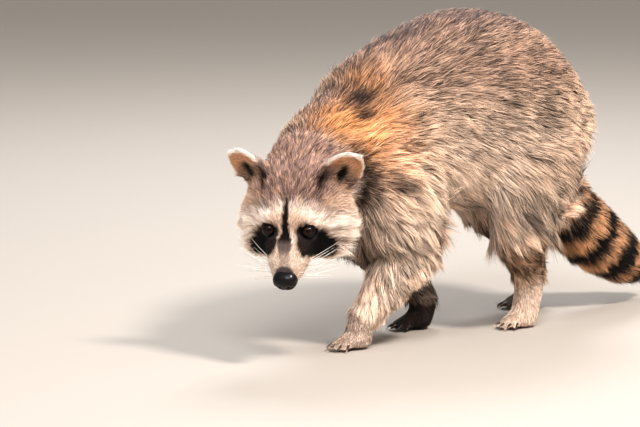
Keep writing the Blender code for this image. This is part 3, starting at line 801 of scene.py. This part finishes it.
def head_markings(points, head, coat):
    """The face: a grey-brown crown, pale brows and cheeks, a black mask and a dark line down the middle."""
    q = to_head(points)
    side, height = np.abs(q[:, 0]), up_face(q)
    wobble, small = 0.12 * waves(points, 6 * MM, 31)[0], waves(points, 7 * MM, 32)[0]
    fleck = np.clip(0.34 + 0.18 * small + 0.30 * waves(points, 2.5 * MM, 33)[0], 0, 1)
    fleck = blend(GREY * 1.45, STRAW * 1.25, fleck)
    paint(coat, head, fleck, UMBER * 0.75, UMBER * 0.4 + SLATE * 0.4, 0.43 - 0.07 * small)
    low = head * ramp(-q[:, 2], 2.6, 3.8)
    brow = head * ramp(height + wobble, -6.0, -5.0)
    brow = brow * fall(height + 0.15 * side**1.15 + 1.6 * wobble, 2.1, 3.7)
    paint(coat, np.maximum(brow, low), WHITE * 1.2, STRAW * 1.1, CREAM * 1.1, 0.02)
    inner = head * fall(side, 1.2, 2.4) * ramp(height, -3.2, 1.0) * fall(height, 1.6, 3.0)
    paint(coat, 0.5 * inner, STRAW * 1.15, TAN, STRAW, 0.06)
    muzzle = head * fall(q[:, 1], -2.6, -1.2)
    paint(coat, 0.6 * muzzle, CREAM * 0.86, STRAW * 0.9, CREAM * 0.86, 0.05)
    cheek = head * ramp(side, 4.2, 5.4) * fall(height, 1.6, 3.4)
    paint(coat, 0.5 * cheek, CREAM, STRAW, STRAW, 0.08)
    warm = head * bell((side, 4.7, 1.2), (height, 3.1, 1.0))
    paint(coat, 0.75 * warm, CREAM * 0.7 + STRAW * 0.5, TAN, STRAW, 0.12)

    # The mask, with a softer brown edge and browner hair beside the nose.
    mask_edge = np.full(len(points), 9.0)
    for at, radii, tilt in MASK_OVALS:
        u, v = turned(side - at[0], height - at[1], tilt)
        mask_edge = np.minimum(mask_edge, np.hypot(u / radii[0], v / radii[1]))
    mask_edge = mask_edge + 0.5 * wobble
    front = head * fall(q[:, 1], 2.6, 4.0)
    mask = front * fall(mask_edge, 0.86, 1.06)
    paint(coat, 0.55 * front * fall(mask_edge, 1.0, 1.35), TAN, UMBER, UMBER, 0.3)
    paint(coat, mask, BLACK * 1.3, BLACK, BLACK, 0.9)
    brown = mask * fall(np.hypot((side - 1.55) / 0.9, (height + 1.35) / 1.0), 0.5, 1.1)
    paint(coat, 0.5 * brown, UMBER * 0.8, DARK, SLATE, 0.5)

    # The dark line down the face, which pales towards the nose and spreads into a saddle above it.
    half = np.interp(height, LINE_HEIGHTS, LINE_HALF_WIDTHS)
    off_line = np.abs(q[:, 0] + 0.15 * ramp(height, -4.0, -1.5)) + wobble * 0.35
    line = head * fall(off_line, half - 0.10, half + 0.16) * fall(height, 3.0, 4.0)
    soft, pale = ramp(-height, 0.8, 1.6), ramp(-height, 1.8, 3.0)
    line = line * (q[:, 2] > -2.6) * (1 - 0.15 * soft - 0.45 * pale)
    stripe = blend(DARK * 0.7, SLATE * 0.8 + UMBER * 0.5, soft)
    stripe = blend(stripe, TAN * 0.45 + GREY * 0.35, pale)
    saddle = head * fall(np.hypot(side / 1.02, (height + 4.35) / 0.85), 0.8, 1.1)
    line, stripe = np.maximum(line, 0.9 * saddle), blend(stripe, SLATE * 0.9, saddle)
    paint(coat, line, stripe, stripe * 0.7, stripe * 0.6, 0.6)
    rim = head * bell((np.hypot(side - 2.0, height), 0.86, 0.12)) * ramp(-height, -0.1, 0.2)
    paint(coat, 0.7 * rim, SLATE, SLATE, SLATE, 0.2)


def ear_markings(points, head, weight, coat):
    """The ears: grey behind, straw within round a dark hollow, a white rim and a dark notch at the base."""
    for name, sign in (("ear_left", 1), ("ear_right", -1)):
        ear = weight[name]
        across, up, behind, inward = on_ear(points, sign)
        border = np.maximum(fall(inward, 0.04, 0.26), ramp(up, 0.89, 0.97))
        within = ramp(-behind, -0.06, 0.06)
        paint(coat, ear, GREY * 0.9, SLATE, DARK, 0.45)
        paint(coat, ear * within, STRAW * 1.4, TAN * 1.3, CREAM, 0.04)
        front = head * bell((across, -0.2, 1.5), (up, 0.06, 0.22), (behind, -0.7, 0.9))
        paint(coat, 0.8 * front, STRAW, UMBER, DARK, 0.25)
        at = 0.25 if sign > 0 else 0.6
        hollow = within * np.exp(-((((across - at) / 0.58) ** 2 + ((up - 0.34) / 0.21) ** 2) ** 2.5))
        paint(coat, np.clip(1.1 * hollow * (ear + head), 0, 1), DARK, BLACK, BLACK, 0.9)
        outer = 0.6 * ear * within * ramp(-across, 0.0, 1.2)
        paint(coat, outer, RUST * 0.7 + CREAM * 0.4, TAN, CREAM, 0.05)
        notch = head * bell((across, -1.95, 0.50), (up, 0.12, 0.26), (behind, -0.5, 0.8))
        paint(coat, np.clip(1.6 * notch, 0, 1), DARK * 1.5, DARK, DARK, 0.8)
        paint(coat, ear * border, WHITE, CREAM, WHITE, 0.02)


# ---- skin ----


def build_skin():
    """The hide: the flesh nodes as one form, drawn in by the coat's depth, with the face worked finer."""
    nodes = sorted(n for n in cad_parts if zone_of(n) not in ("eye", "nose"))
    points, faces = flesh_form(nodes)
    web = Web(faces, len(points))
    owner = nearest_node(points, nodes)

    def in_zones(*zones):
        return np.array([zone_of(n) in zones for n in nodes])[owner]

    is_ear = in_zones("ear")
    points = web.even(points, 4, np.where(is_ear, 0.12, 0.5))
    muzzle, face = face_share(points)
    depth = np.array([ZONES[zone_of(n)][0] for n in nodes])[owner]
    q = to_head(points)
    cheeks = ramp(np.abs(q[:, 0]), 3.2, 5.0) * fall(q[:, 2], -0.5, 2.0)
    head_depth = (4.5 + 2.5 * cheeks) * (1 - face) + 1.8 * face
    depth = np.where(in_zones("head"), head_depth * (1 - muzzle) + 0.9 * muzzle, depth)
    small = in_zones("ear", "forepaw", "hindpaw")
    depth = web.even(depth, 24, np.where(small | (face > 0.5), 0.12, 0.5))
    for _ in range(4):
        points = points - normals_of(points, faces) * (depth * MM / 4)[:, None]
        points = web.even(points, 1, np.where(is_ear, 0.05, 0.3))

    q = to_head(points)
    on_face = (size_of(q - (0, -1.0, -0.5)) < 5.6) & (q[:, 1] < 3.0)
    points, faces = refine(points, faces, on_face)
    by_eyes = np.minimum(*(size_of(points - eye) for eye in EYES)) < 17 * MM
    points, faces = refine(points, faces, by_eyes | (to_head(points)[:, 1] < -3.0))
    web = Web(faces, len(points))
    share = 0.5 * fall(size_of(to_head(points)), 6.0, 7.0)
    points = web.even(points, 4, share)
    points = shape_eyelids(points)
    points = shape_mouth(points, normals_of(points, faces))
    normal = normals_of(points, faces)

    owner = nearest_node(points, nodes)
    weight = {n: web.even((owner == i) * 1.0, 14) for i, n in enumerate(nodes)}
    for name, side in (("ear_left", 1), ("ear_right", -1)):
        _, up, behind, inward = on_ear(points, side)
        leaf = ramp(up, -0.08, 0.12) * fall(np.abs(behind), 0.45, 0.75) * ramp(inward, -0.6, -0.3)
        fur_of_head = weight[name] * (1 - leaf)
        weight[name], weight["head"] = weight[name] - fur_of_head, weight["head"] + fur_of_head
    return points, faces, web, normal, nodes, owner, weight


def lie_of_coat(points, normal, web, weight):
    """The way the hair lies at each vertex: away from the nose along the surface, and down the flanks."""
    source = np.argmin(size_of(points - from_head(NOSE_AT)))
    travel = web.even(web.distance(points, source), 12)
    run = points[web.near] - points[web.to]
    rise = (travel[web.near] - travel[web.to]) / np.maximum((run**2).sum(1), 1e-12)
    way = np.add.reduceat(run * rise[:, None], web.start, axis=0)
    way = unit(along_surface(way, normal))
    torso = share_of(weight, "trunk", "neck", "upperarm", "thigh")
    steep = np.sqrt(np.clip(1 - normal[:, 2] ** 2, 0, 1))
    q = to_head(points)
    ruff = weight["head"] * ramp(np.abs(q[:, 0]), 2.8, 4.6) * fall(q[:, 2], 0.0, 2.2)
    way = way + np.array([0, 0, -1.0]) * (0.62 * torso * steep + 0.8 * ruff)[:, None]
    way = way + HEAD_AXES[0] * (0.7 * np.sign(q[:, 0]) * ruff)[:, None]
    for _ in range(14):
        way = unit(along_surface(web.even(way, 1), normal))
    return way


def turning(points, normal, way, web):
    """How sharply the surface turns away along the lie of the hair, per metre: above 0 where round. Each
    edge gives its change of normal over its length, and edges that follow the hair count the most."""
    run, turn = points[web.near] - points[web.to], normal[web.near] - normal[web.to]
    along = (run * way[web.to]).sum(1) ** 2
    total = np.add.reduceat((run * turn).sum(1) * along / np.maximum((run**2).sum(1), 1e-12), web.start)
    return web.even(total / np.maximum(np.add.reduceat(along, web.start), 1e-12), 6)


# ---- coat ----


def sow(points, faces, density, rng):
    """Roots spread over the faces in step with their area and density: face number and corner shares."""
    a, b, c = (points[faces[:, k]] for k in range(3))
    area = size_of(np.cross(b - a, c - a)) / 2 / MM**2
    total = np.cumsum(area * density[faces].mean(1))
    count = int(total[-1])
    pick = np.searchsorted(total, (np.arange(count) + rng.random(count)) / count * total[-1])
    pick = np.minimum(pick, len(faces) - 1)
    r, s = np.sqrt(rng.random(count)), rng.random(count)
    return pick, np.stack([1 - r, r * (1 - s), r * s], axis=1)


def carry(values, faces, pick, share):
    """A vertex value read off inside faces by the corner shares."""
    rows = values[faces[pick]]
    return (rows * (share if rows.ndim == 2 else share[..., None])).sum(1)


def nearest_lock(root, centre, group):
    """The number of the lock centre closest to each root, among those of its own group."""
    found = np.zeros(len(root), int)
    for number in np.unique(group):
        mine, its = np.flatnonzero(group == number), centre[group[centre] == number]
        middle_of_all = root[mine].mean(0)
        spots = (root[its] - middle_of_all).astype(np.float32)
        for rows in np.array_split(mine, 1 + len(mine) // 4000):
            away = (root[rows] - middle_of_all).astype(np.float32)
            found[rows] = its[np.argmin((spots**2).sum(1) - 2 * away @ spots.T, axis=1)]
    return found


def tufts(name, root, normal, way, length, width, rise, bend, colours, patch, segments, material, rng):
    """Flat pointed blades. The middle line is root + length (way t cos + normal t (1 - 0.3 t) sin) + bend t
    squared, the width is W (0.8, 1, 0.7 ... 0) along it, and the blade is rolled a little about its line."""
    t = np.linspace(0, 1, segments + 1) ** 0.9
    side = unit(np.cross(normal, way))
    roll = rng.uniform(-0.6, 0.6, len(root))
    across = side * np.cos(roll)[:, None] + normal * np.sin(roll)[:, None]
    lift = np.clip(rise / (0.7 * length), 0.04, 0.85)
    flat = np.sqrt(1 - lift**2)
    step = t[None, :, None]
    line = root[:, None] - 0.4 * MM * normal[:, None] * (step == 0)
    line = line + (length * flat)[:, None, None] * way[:, None] * step
    line = line + (length * lift)[:, None, None] * normal[:, None] * (step * (1 - 0.3 * step))
    line = line + bend[:, None] * step**2
    half = np.interp(t, (0, 0.35, 0.7, 1), (0.40, 0.50, 0.34, 0))[None, :, None] * width[:, None, None]
    left, right = line - across[:, None] * half, line + across[:, None] * half
    pairs = np.stack([left[:, :-1], right[:, :-1]], 2).reshape(len(root), -1, 3)
    rows = np.concatenate([pairs, line[:, -1:]], 1)
    rows[..., 2] = np.maximum(rows[..., 2], 0.2 * MM)
    each = rows.shape[1]
    pattern = []
    for k in range(0, each - 3, 2):
        pattern += [(k, k + 2, k + 3), (k, k + 3, k + 1)]
    pattern = np.array(pattern + [(each - 3, each - 1, each - 2)])
    faces = (pattern[None] + (np.arange(len(root)) * each)[:, None, None]).reshape(-1, 3)
    piece = new_piece(name, rows.reshape(-1, 3), faces, material)

    at = np.append(np.repeat(t[:-1], 2), 1.0)
    low, light, end = colours
    first = np.clip(at / 0.45, 0, 1)[None, :, None]
    last = np.clip((at - 0.38) / 0.34, 0, 1)[None, :, None]
    tint = low[:, None] * (1 - first) + light[:, None] * first
    tint = tint * (1 - last) + end[:, None] * last
    set_tint(piece, tint.reshape(-1, 3))

    # Each tuft takes a small patch of the unwrapped skin round the place where it grows.
    local = np.stack([np.append(np.tile([-1.0, 1.0], segments), 0.0), at * 2 - 1], 1) * 0.0015
    spot = patch[:, None] + local[None]
    layer = piece.data.uv_layers.new(name="OFBake")
    layer.data.foreach_set("uv", spot.reshape(-1, 2)[faces.ravel()].astype(np.float32).ravel())
    piece.data.uv_layers.active = layer
    return piece


def unwrapped(root, owner, members):
    """A place on the unwrapped skin for each root. Each node of the piece is rolled out about its own long
    axis into a strip: across the strip is the angle round the axis, and up it is the way along."""
    place = np.zeros((len(root), 2))
    for number, member in enumerate(members):
        rows = owner == member
        cloud = root[rows] - root[rows].mean(0)
        axes = np.linalg.svd(cloud[:: max(1, len(cloud) // 4000)], full_matrices=False)[2]
        along, u, v = (cloud @ axis for axis in axes)
        turn = (np.arctan2(v, u) + math.pi) / (2 * math.pi)
        run = (along - along.min()) / max(np.ptp(along), 1e-9)
        place[rows] = np.stack([(number + 0.03 + 0.94 * turn) / len(members), 0.02 + 0.96 * run], 1)
    return place


def coat_sizes(points, normal, nodes, weight):
    """At each point how long and how wide the tufts are and how far they stand off, in millimetres, how many
    grow on a square millimetre, and how shaggy the coat is."""
    depth, long, wide, dense = sum(weight[n][:, None] * np.array(ZONES[zone_of(n)]) for n in nodes).T
    head, q = weight["head"], to_head(points)
    side, height = np.abs(q[:, 0]), up_face(q)
    muzzle, face = face_share(points)
    cheeks = ramp(side, 3.2, 5.0) * fall(height, -0.5, 2.2)
    jowl = ramp(side, 3.6, 5.0) * fall(height, -2.0, 0.8)

    def on_head(elsewhere, crown, front, snout):
        """A size off the head, on its crown and cheeks, on the front of the face and on the muzzle."""
        size = crown * (1 - face) + front * face * (1 - muzzle) + snout * muzzle * face
        return elsewhere * (1 - head) + head * size

    long = on_head(long, 12 + 12 * cheeks + 5 * jowl, 6.0, 3.4)
    wide = wide * (1 - head * face * 0.35)
    dense = dense * (1 + head * (0.9 * face + 0.6 * muzzle))
    for sign in (-1, 1):
        across, up, behind, _ = on_ear(points, sign)
        before = head * bell((across, 0, 1.9), (up, -0.05, 0.30), (behind, -0.9, 1.2))
        long, depth = long * (1 - 0.55 * before), depth * (1 - 0.5 * before)
    depth = on_head(depth, 4.5 + 2.5 * cheeks + 5.0 * jowl, 1.6, 0.7)
    fringe = blobs(points, FRINGED_PLACES)
    arms = 0.9 * share_of(weight, "forearm") + 0.7 * share_of(weight, "upperarm")
    legs = share_of(weight, "thigh", "shank") * fall(points[:, 2] / CM, 12, 20)
    shaggy = np.clip(fringe + arms + 0.7 * legs, 0, 1)
    long = long * (1 + 0.40 * np.clip(fringe, 0, 1) + 0.10 * shaggy)
    # The throat and the hollow behind the far elbow are shorter.
    long = long * (1 - 0.40 * weight["neck"] * ramp(-normal[:, 2], 0.0, 0.6))
    long = long * (1 - 0.55 * blob(points, (-1.3, -13.6, 9.8), (2.6, 2.6, 2.2)))

    # No hair grows on the eyeballs' openings or under the soles.
    bald = (normal[:, 2] < -0.8) & (points[:, 2] < 4 * MM)
    for sign, eye in zip((-1, 1), EYES):
        opening, away = eye_opening_way(sign), (points - eye) / MM
        off_axis = size_of(away - (away @ opening)[:, None] * opening)
        bald = bald | ((off_axis < 6.7) & (away @ opening > 0))
    return long, wide, depth, dense * (1 - bald), shaggy


def build_coat(body, material):
    """Sows the tufts, gives each its lie, size and colours from its place, and makes the pieces."""
    points, faces, web, normal, nodes, owner, weight = body
    rng = np.random.default_rng(11)
    way = lie_of_coat(points, normal, web, weight)
    long, wide, depth, dense, shaggy = coat_sizes(points, normal, nodes, weight)
    hug = 0.8 * (1 - 0.6 * shaggy) * (1 - 0.7 * weight["head"]) * (1 - share_of(weight, "ear"))
    hug = hug * turning(points, normal, way, web)

    pick, share = sow(points, faces, dense, rng)

    def here(values):
        return carry(values, faces, pick, share)

    root, up = here(points), unit(here(normal))
    lie = unit(along_surface(here(way), up))
    own = owner[faces[pick, 0]]
    mix = {node: here(weight[node]) for node in nodes}
    n = len(root)
    length, width, rise = (here(v) * MM for v in (long, wide, depth))
    sampled = root + 0.5 * length[:, None] * lie + 0.7 * rise[:, None] * up
    sampled = sampled + rng.normal(size=(n, 3)) * (length * 0.045)[:, None]
    low, light, end, dark = markings(sampled, up, mix)

    # Short, wide underfur, guard hairs, and a few long stray ones.
    length = length * (1 - 0.4 * mix["head"] * (light.mean(axis=1) < 0.03))
    kind = rng.random(n)
    under, stray = kind < UNDERFUR_SHARE, kind > 1 - STRAY_SHARE

    def varied(size, low_share, high_share, in_underfur, in_strays):
        size = size * rng.uniform(low_share, high_share, n)
        return size * np.where(under, in_underfur, 1) * np.where(stray, in_strays, 1)

    length = varied(length, 0.78, 1.15, 0.62, 1.25)
    rise = varied(rise, 0.70, 1.05, 0.60, 1.30)
    width = varied(width, 0.75, 1.2, 1.45, 0.7)

    # Tufts lean together in locks: each is drawn towards the tip of the lock's middle one.
    spread = here(np.clip(0.30 * long, 1.6, 10.0))
    centre = np.flatnonzero(rng.random(n) < 1 / (here(dense) * spread**2 + 1))
    group = [(zone_of(node) in ("ear", "tail"), "left" in node, zone_of(node) == "head") for node in nodes]
    near = nearest_lock(root, centre, (np.array(group) @ (4, 2, 1))[own])
    clump = np.where(share_of(mix, "ear") > 0.5, 0.1, 0.32 + 0.43 * here(shaggy))
    sway = rng.normal(size=(n, 3)) * 0.17
    jitter = rng.normal(size=(n, 3)) * 0.08 + sway[near] * (0.4 + clump)[:, None]
    lie = unit(lie + along_surface(jitter, up))
    length = length * (1 + 0.14 * rng.normal(size=n)[near].clip(-1.5, 1.5) * clump * 1.4)
    length = np.minimum(length, HAIR_AT_MOST)
    pull = root[near] + length[near, None] * lie[near] - root - length[:, None] * lie
    pull = along_surface(along_surface(pull, lie, 0.7), up, 0.8)
    apart = size_of(root - root[near])
    pull = pull * (clump * fall(apart, 12 * MM, 18 * MM))[:, None]
    edge = np.clip(apart / (0.5 * spread * MM), 0, 1.4)
    rise = rise * (1 + 0.12 * clump * (1 - edge))

    # Broad waves heave the coat, it sags a little, and it bends with the roundness of the body.
    value, slope = waves(root, HEAVE_LENGTH, 5)
    loose = np.clip(length / (22 * MM), 0.10, 1.5)
    pull = pull + along_surface(-slope * HEAVE_LENGTH / 9 * loose[:, None], up)
    pull = pull * np.minimum(1, 0.5 * length / np.maximum(size_of(pull), 0.1 * MM))[:, None]
    sag = np.array([0, 0, -1.0]) * (length * 0.10 * np.clip(length / (22 * MM), 0, 1))[:, None]
    drop = np.clip(0.5 * here(hug) * length**2, -0.10 * length, 0.40 * length)
    bend = pull + sag - up * drop[:, None]

    dark_tip = 0.72 * rng.random(n) + 0.28 * rng.random(n)[near] < 0.06 + 0.88 * dark
    # Tone varies at random by tuft and by lock. Tufts at the edges of locks are painted darker and those at
    # their middles lighter, a painted shade between the locks, and the tone shifts a little with the broad
    # waves.
    tone = 1 + 0.12 * rng.normal(size=n) + 0.32 * rng.normal(size=n)[near] * clump
    tone = tone - 0.08 * np.clip(loose, 0, 1) * value - 0.55 * clump * (edge - 0.7)
    tone = np.clip(tone, 0.5, 1.45)[:, None]
    light = blend(light, low, 0.60 * under)
    end = np.where(dark_tip[:, None], end, light * 1.05)
    light = blend(light, end, 0.70 * (dark_tip & (rng.random(n) < 0.40)))
    colours = (low * tone, light * tone, end * tone)

    made = []
    for name, zones in COAT_PIECES.items():
        members = [i for zone in zones for i, node in enumerate(nodes) if zone_of(node) == zone]
        mine = np.flatnonzero(np.isin(own, members))
        segments = 2 if name in ("coat_ears", "coat_paws", "coat_head") else 3
        parts = math.ceil(len(mine) * (2 * segments - 1) / TRIANGLES_AT_MOST)
        patch = unwrapped(root[mine], own[mine], members)
        order = np.argsort(root[mine][:, 1], kind="stable")
        for part, chosen in enumerate(np.array_split(order, parts)):
            rows = mine[chosen]
            label = name if parts == 1 else f"{name}_{part + 1}"
            shape = (values[rows] for values in (root, up, lie, length, width, rise, bend))
            tints = [values[rows] for values in colours]
            made.append(tufts(label, *shape, tints, patch[chosen], segments, material, rng))
    return made


# ---- eyes, nose, claws, whiskers ----


def build_eye(side, material):
    """A ball with a slightly raised cornea: radius R (1 + 0.05 falling to 0 at 45 degrees off the gaze)."""
    centre = EYES[1] if side > 0 else EYES[0]
    gaze = unit(np.array(GAZE) @ HEAD_AXES)
    across = unit(np.cross(gaze, BACK))
    over = np.cross(gaze, across)
    rings, sides = 40, 48
    off, turn = (angle[..., None] for angle in ball_angles(rings, sides, 0.004))
    size = EYE_RADIUS * (1 + 0.05 * fall(off, 0.25, 0.80))
    outwards = across * np.cos(turn) + over * np.sin(turn)
    points = centre + size * (gaze * np.cos(off) + outwards * np.sin(off))
    name = "eyeball_left" if side > 0 else "eyeball_right"
    piece = closed_piece(name, points.reshape(-1, 3), grid_faces(rings, sides), material)
    away = unit(points_of(piece.data) - centre)
    angle = np.arccos(np.clip(away @ gaze, -1, 1))
    around = np.arctan2(away @ over, away @ across) / (2 * math.pi) + 0.5
    corner = corners_of(piece.data, 1)[:, 0]
    layer = piece.data.uv_layers.new(name="iris")
    layer.data.foreach_set("uv", np.stack([around, angle], 1)[corner].astype(np.float32).ravel())
    return piece


def thin_out(piece, limit):
    """Merges the smallest triangles, keeping the shape and the colours, down to the limit."""
    piece.data.calc_loop_triangles()
    count = len(piece.data.loop_triangles)
    if count > limit:
        thin = piece.modifiers.new("thin", "DECIMATE")
        thin.ratio = limit / count
        made = bpy.data.meshes.new_from_object(with_modifiers(piece))
        piece.modifiers.clear()
        piece.data = made


def build_nose(material):
    """The nose pad: an ellipsoid, squared off a little, with two nostrils and a groove pressed into it."""
    rings, sides = 72, 96
    off, turn = ball_angles(rings, sides, 0.003)
    ball = np.stack([np.sin(off) * np.cos(turn), -np.cos(off) + 0 * turn, np.sin(off) * np.sin(turn)], -1)
    x, y, z = (ball * (np.abs(ball) ** 2.5).sum(-1, keepdims=True) ** (-1 / 2.5)).transpose(2, 0, 1)
    front = ramp(-y, 0.0, 0.5)
    dent = np.zeros_like(x)
    for sign in (-1, 1):
        dent = dent + bell((x, sign * 0.42, 0.17), (z, -0.10, 0.20)) * front
        dent = dent + 0.6 * bell((x, sign * 0.72, 0.20), (z, -0.34, 0.12)) * front
    groove = 0.30 * bell((x, 0, 0.06)) * ramp(-z, 0.0, 0.4) * front
    shrink = 1 - 0.26 * np.clip(dent, 0, 1) - 0.12 * groove
    narrow = 1 - 0.18 * ramp(-z, 0.1, 1.0)
    local = np.stack([x * narrow, y, z], -1) * NOSE_RADII * shrink[..., None]
    points = from_head((local + NOSE_AT).reshape(-1, 3))
    return closed_piece("nose_pad", points, grid_faces(rings, sides), material)


def build_claws(material):
    """Five curved claws on each paw, one from the end of each toe."""
    starts, ways, bends = [], [], []
    for ball, heading in PAWS.values():
        for number, share in enumerate(TOE_SHARES):
            turn = math.radians(heading) + (number - 2) * TOE_SPREAD
            way = np.array([math.sin(turn), -math.cos(turn), 0.0])
            starts.append(ball + way * (TOE_REACH * share - 2.0 * MM) + (0, 0, -2.4 * MM))
            ways.append(way + np.array([0, 0, 0.12]))
            bends.append(np.array([0, 0, -0.50]))
    count = len(starts)
    lengths, radii = np.full(count, CLAW_LENGTH), np.full(count, CLAW_RADIUS)
    rows, faces = tapered_tubes(np.array(starts), np.array(ways), np.array(bends), lengths, radii, 10, 8)
    rows[:, 2] = np.maximum(rows[:, 2], 0.3 * MM)
    return closed_piece("claws", rows, faces, material)


def build_whiskers(material):
    """Stiff pale bristles on both sides of the muzzle, and a few over the eyes."""
    rng = np.random.default_rng(3)
    starts, ways, bends, lengths = [], [], [], []
    for side in (-1, 1):
        for row in range(4):
            for place in range(4):
                at = np.array([side * (1.15 + 0.20 * place), -3.75 + 0.48 * place, -2.05 - 0.26 * row])
                starts.append(at)
                way = (side * 0.95, 0.12 + 0.12 * place, 0.28 - 0.24 * row)
                ways.append(way + rng.normal(size=3) * 0.09)
                bends.append((side * -0.05, 0.20, -0.16) + rng.normal(size=3) * 0.05)
                lengths.append(rng.uniform(3.2, 5.4))
        for place in range(3):
            starts.append(np.array([side * (1.2 + 0.35 * place), 0.25 + 0.2 * place, 0.75]))
            ways.append((side * 0.35, 0.1, 0.9) + rng.normal(size=3) * 0.12)
            bends.append(np.array([side * 0.12, 0.25, -0.05]))
            lengths.append(rng.uniform(1.6, 2.4))
    starts = from_head(np.array(starts))
    ways, bends = unit(np.array(ways)) @ HEAD_AXES, np.array(bends) @ HEAD_AXES
    lengths = np.array(lengths) * CM
    rows, faces = tapered_tubes(starts, ways, bends, lengths, np.full(len(lengths), WHISKER_RADIUS), 12, 5)
    return closed_piece("whiskers", rows, faces, material)


# ---- stage ----


def aimed(name, data, at, aim):
    """A light or a camera in the scene, standing at one place and aimed at another."""
    holder = bpy.data.objects.new(name, data)
    holder.location = at
    holder.rotation_euler = (Vector(aim) - Vector(at)).to_track_quat("-Z", "Y").to_euler()
    bpy.context.scene.collection.objects.link(holder)
    return holder


def build_stage():
    """A pale floor, a pale room and three soft lights."""
    material, _, shader = new_material("pale_studio_floor", Roughness=0.8)
    shader.inputs["Base Color"].default_value = colour("#bfb6ad")
    corners = np.array([(-1, -1, 0), (1, -1, 0), (1, 1, 0), (-1, 1, 0)]) * FLOOR_REACH
    floor = new_piece("floor", corners, np.array([[0, 1, 2, 3]]), material, False)
    scene = bpy.context.scene
    world = bpy.data.worlds.new("studio")
    scene.world = world
    world.use_nodes = True
    world.node_tree.nodes["Background"].inputs["Color"].default_value = (1.0, 0.98, 0.95, 1)
    world.node_tree.nodes["Background"].inputs["Strength"].default_value = 0.38
    # Each light: place, aim, width in metres, watts and tint.
    for name, at, aim, size, power, tint in (
        ("key", (1.5, 0.15, 2.1), (0, 0, 0.15), 0.40, 52, (1.0, 0.94, 0.88)),
        ("fill", (1.7, -1.75, 2.5), (0, -0.1, 0.15), 1.5, 66, (0.94, 0.97, 1.0)),
        ("rim", (-1.1, 0.9, 1.7), (0, 0, 0.2), 0.7, 22, (0.92, 0.95, 1.0)),
    ):
        lamp = bpy.data.lights.new(name, "AREA")
        lamp.energy, lamp.size, lamp.color = power, size, tint
        aimed(name, lamp, at, aim)
    scene.view_settings.view_transform = "Standard"
    scene.view_settings.look = "Medium High Contrast"


def build_camera():
    """A long lens low in front of the animal's left shoulder."""
    round_by, above = CAMERA_ANGLES
    level = math.cos(above)
    back = Vector((math.sin(round_by) * level, -math.cos(round_by) * level, math.sin(above)))
    lens = bpy.data.cameras.new("camera")
    lens.sensor_width = 36
    lens.lens = CAMERA_LENS
    at = Vector(CAMERA_AIM) + back * CAMERA_AWAY
    bpy.context.scene.camera = aimed("camera", lens, at, CAMERA_AIM)


def main():
    build_camera()
    build_stage()
    hide, fur = hide_material(), fur_material()
    body = build_skin()
    points, faces, _, normal, nodes, _, weight = body
    skin = new_piece("skin", points, faces, hide)
    low, light, _, _ = markings(points, normal, weight)
    set_tint(skin, blend(low, light, 0.35) * 0.8)
    thin_out(skin, TRIANGLES_AT_MOST)
    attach(skin, "root")
    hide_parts(*nodes)
    for piece in build_coat(body, fur):
        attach(piece, "root")

    wet = eye_material()
    for side, node in ((1, "eye_left"), (-1, "eye_right")):
        eye = build_eye(side, wet)
        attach(eye, "root")
        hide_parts(node)
    nose = build_nose(nose_material())
    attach(nose, "root")
    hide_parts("nose")
    claws = build_claws(horn_material("claw_horn", "#4a3a32", "#1c1512"))
    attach(claws, "root")
    whiskers = build_whiskers(horn_material("whisker_horn", "#fffaf2", "#e6dccf"))
    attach(whiskers, "root")


main()
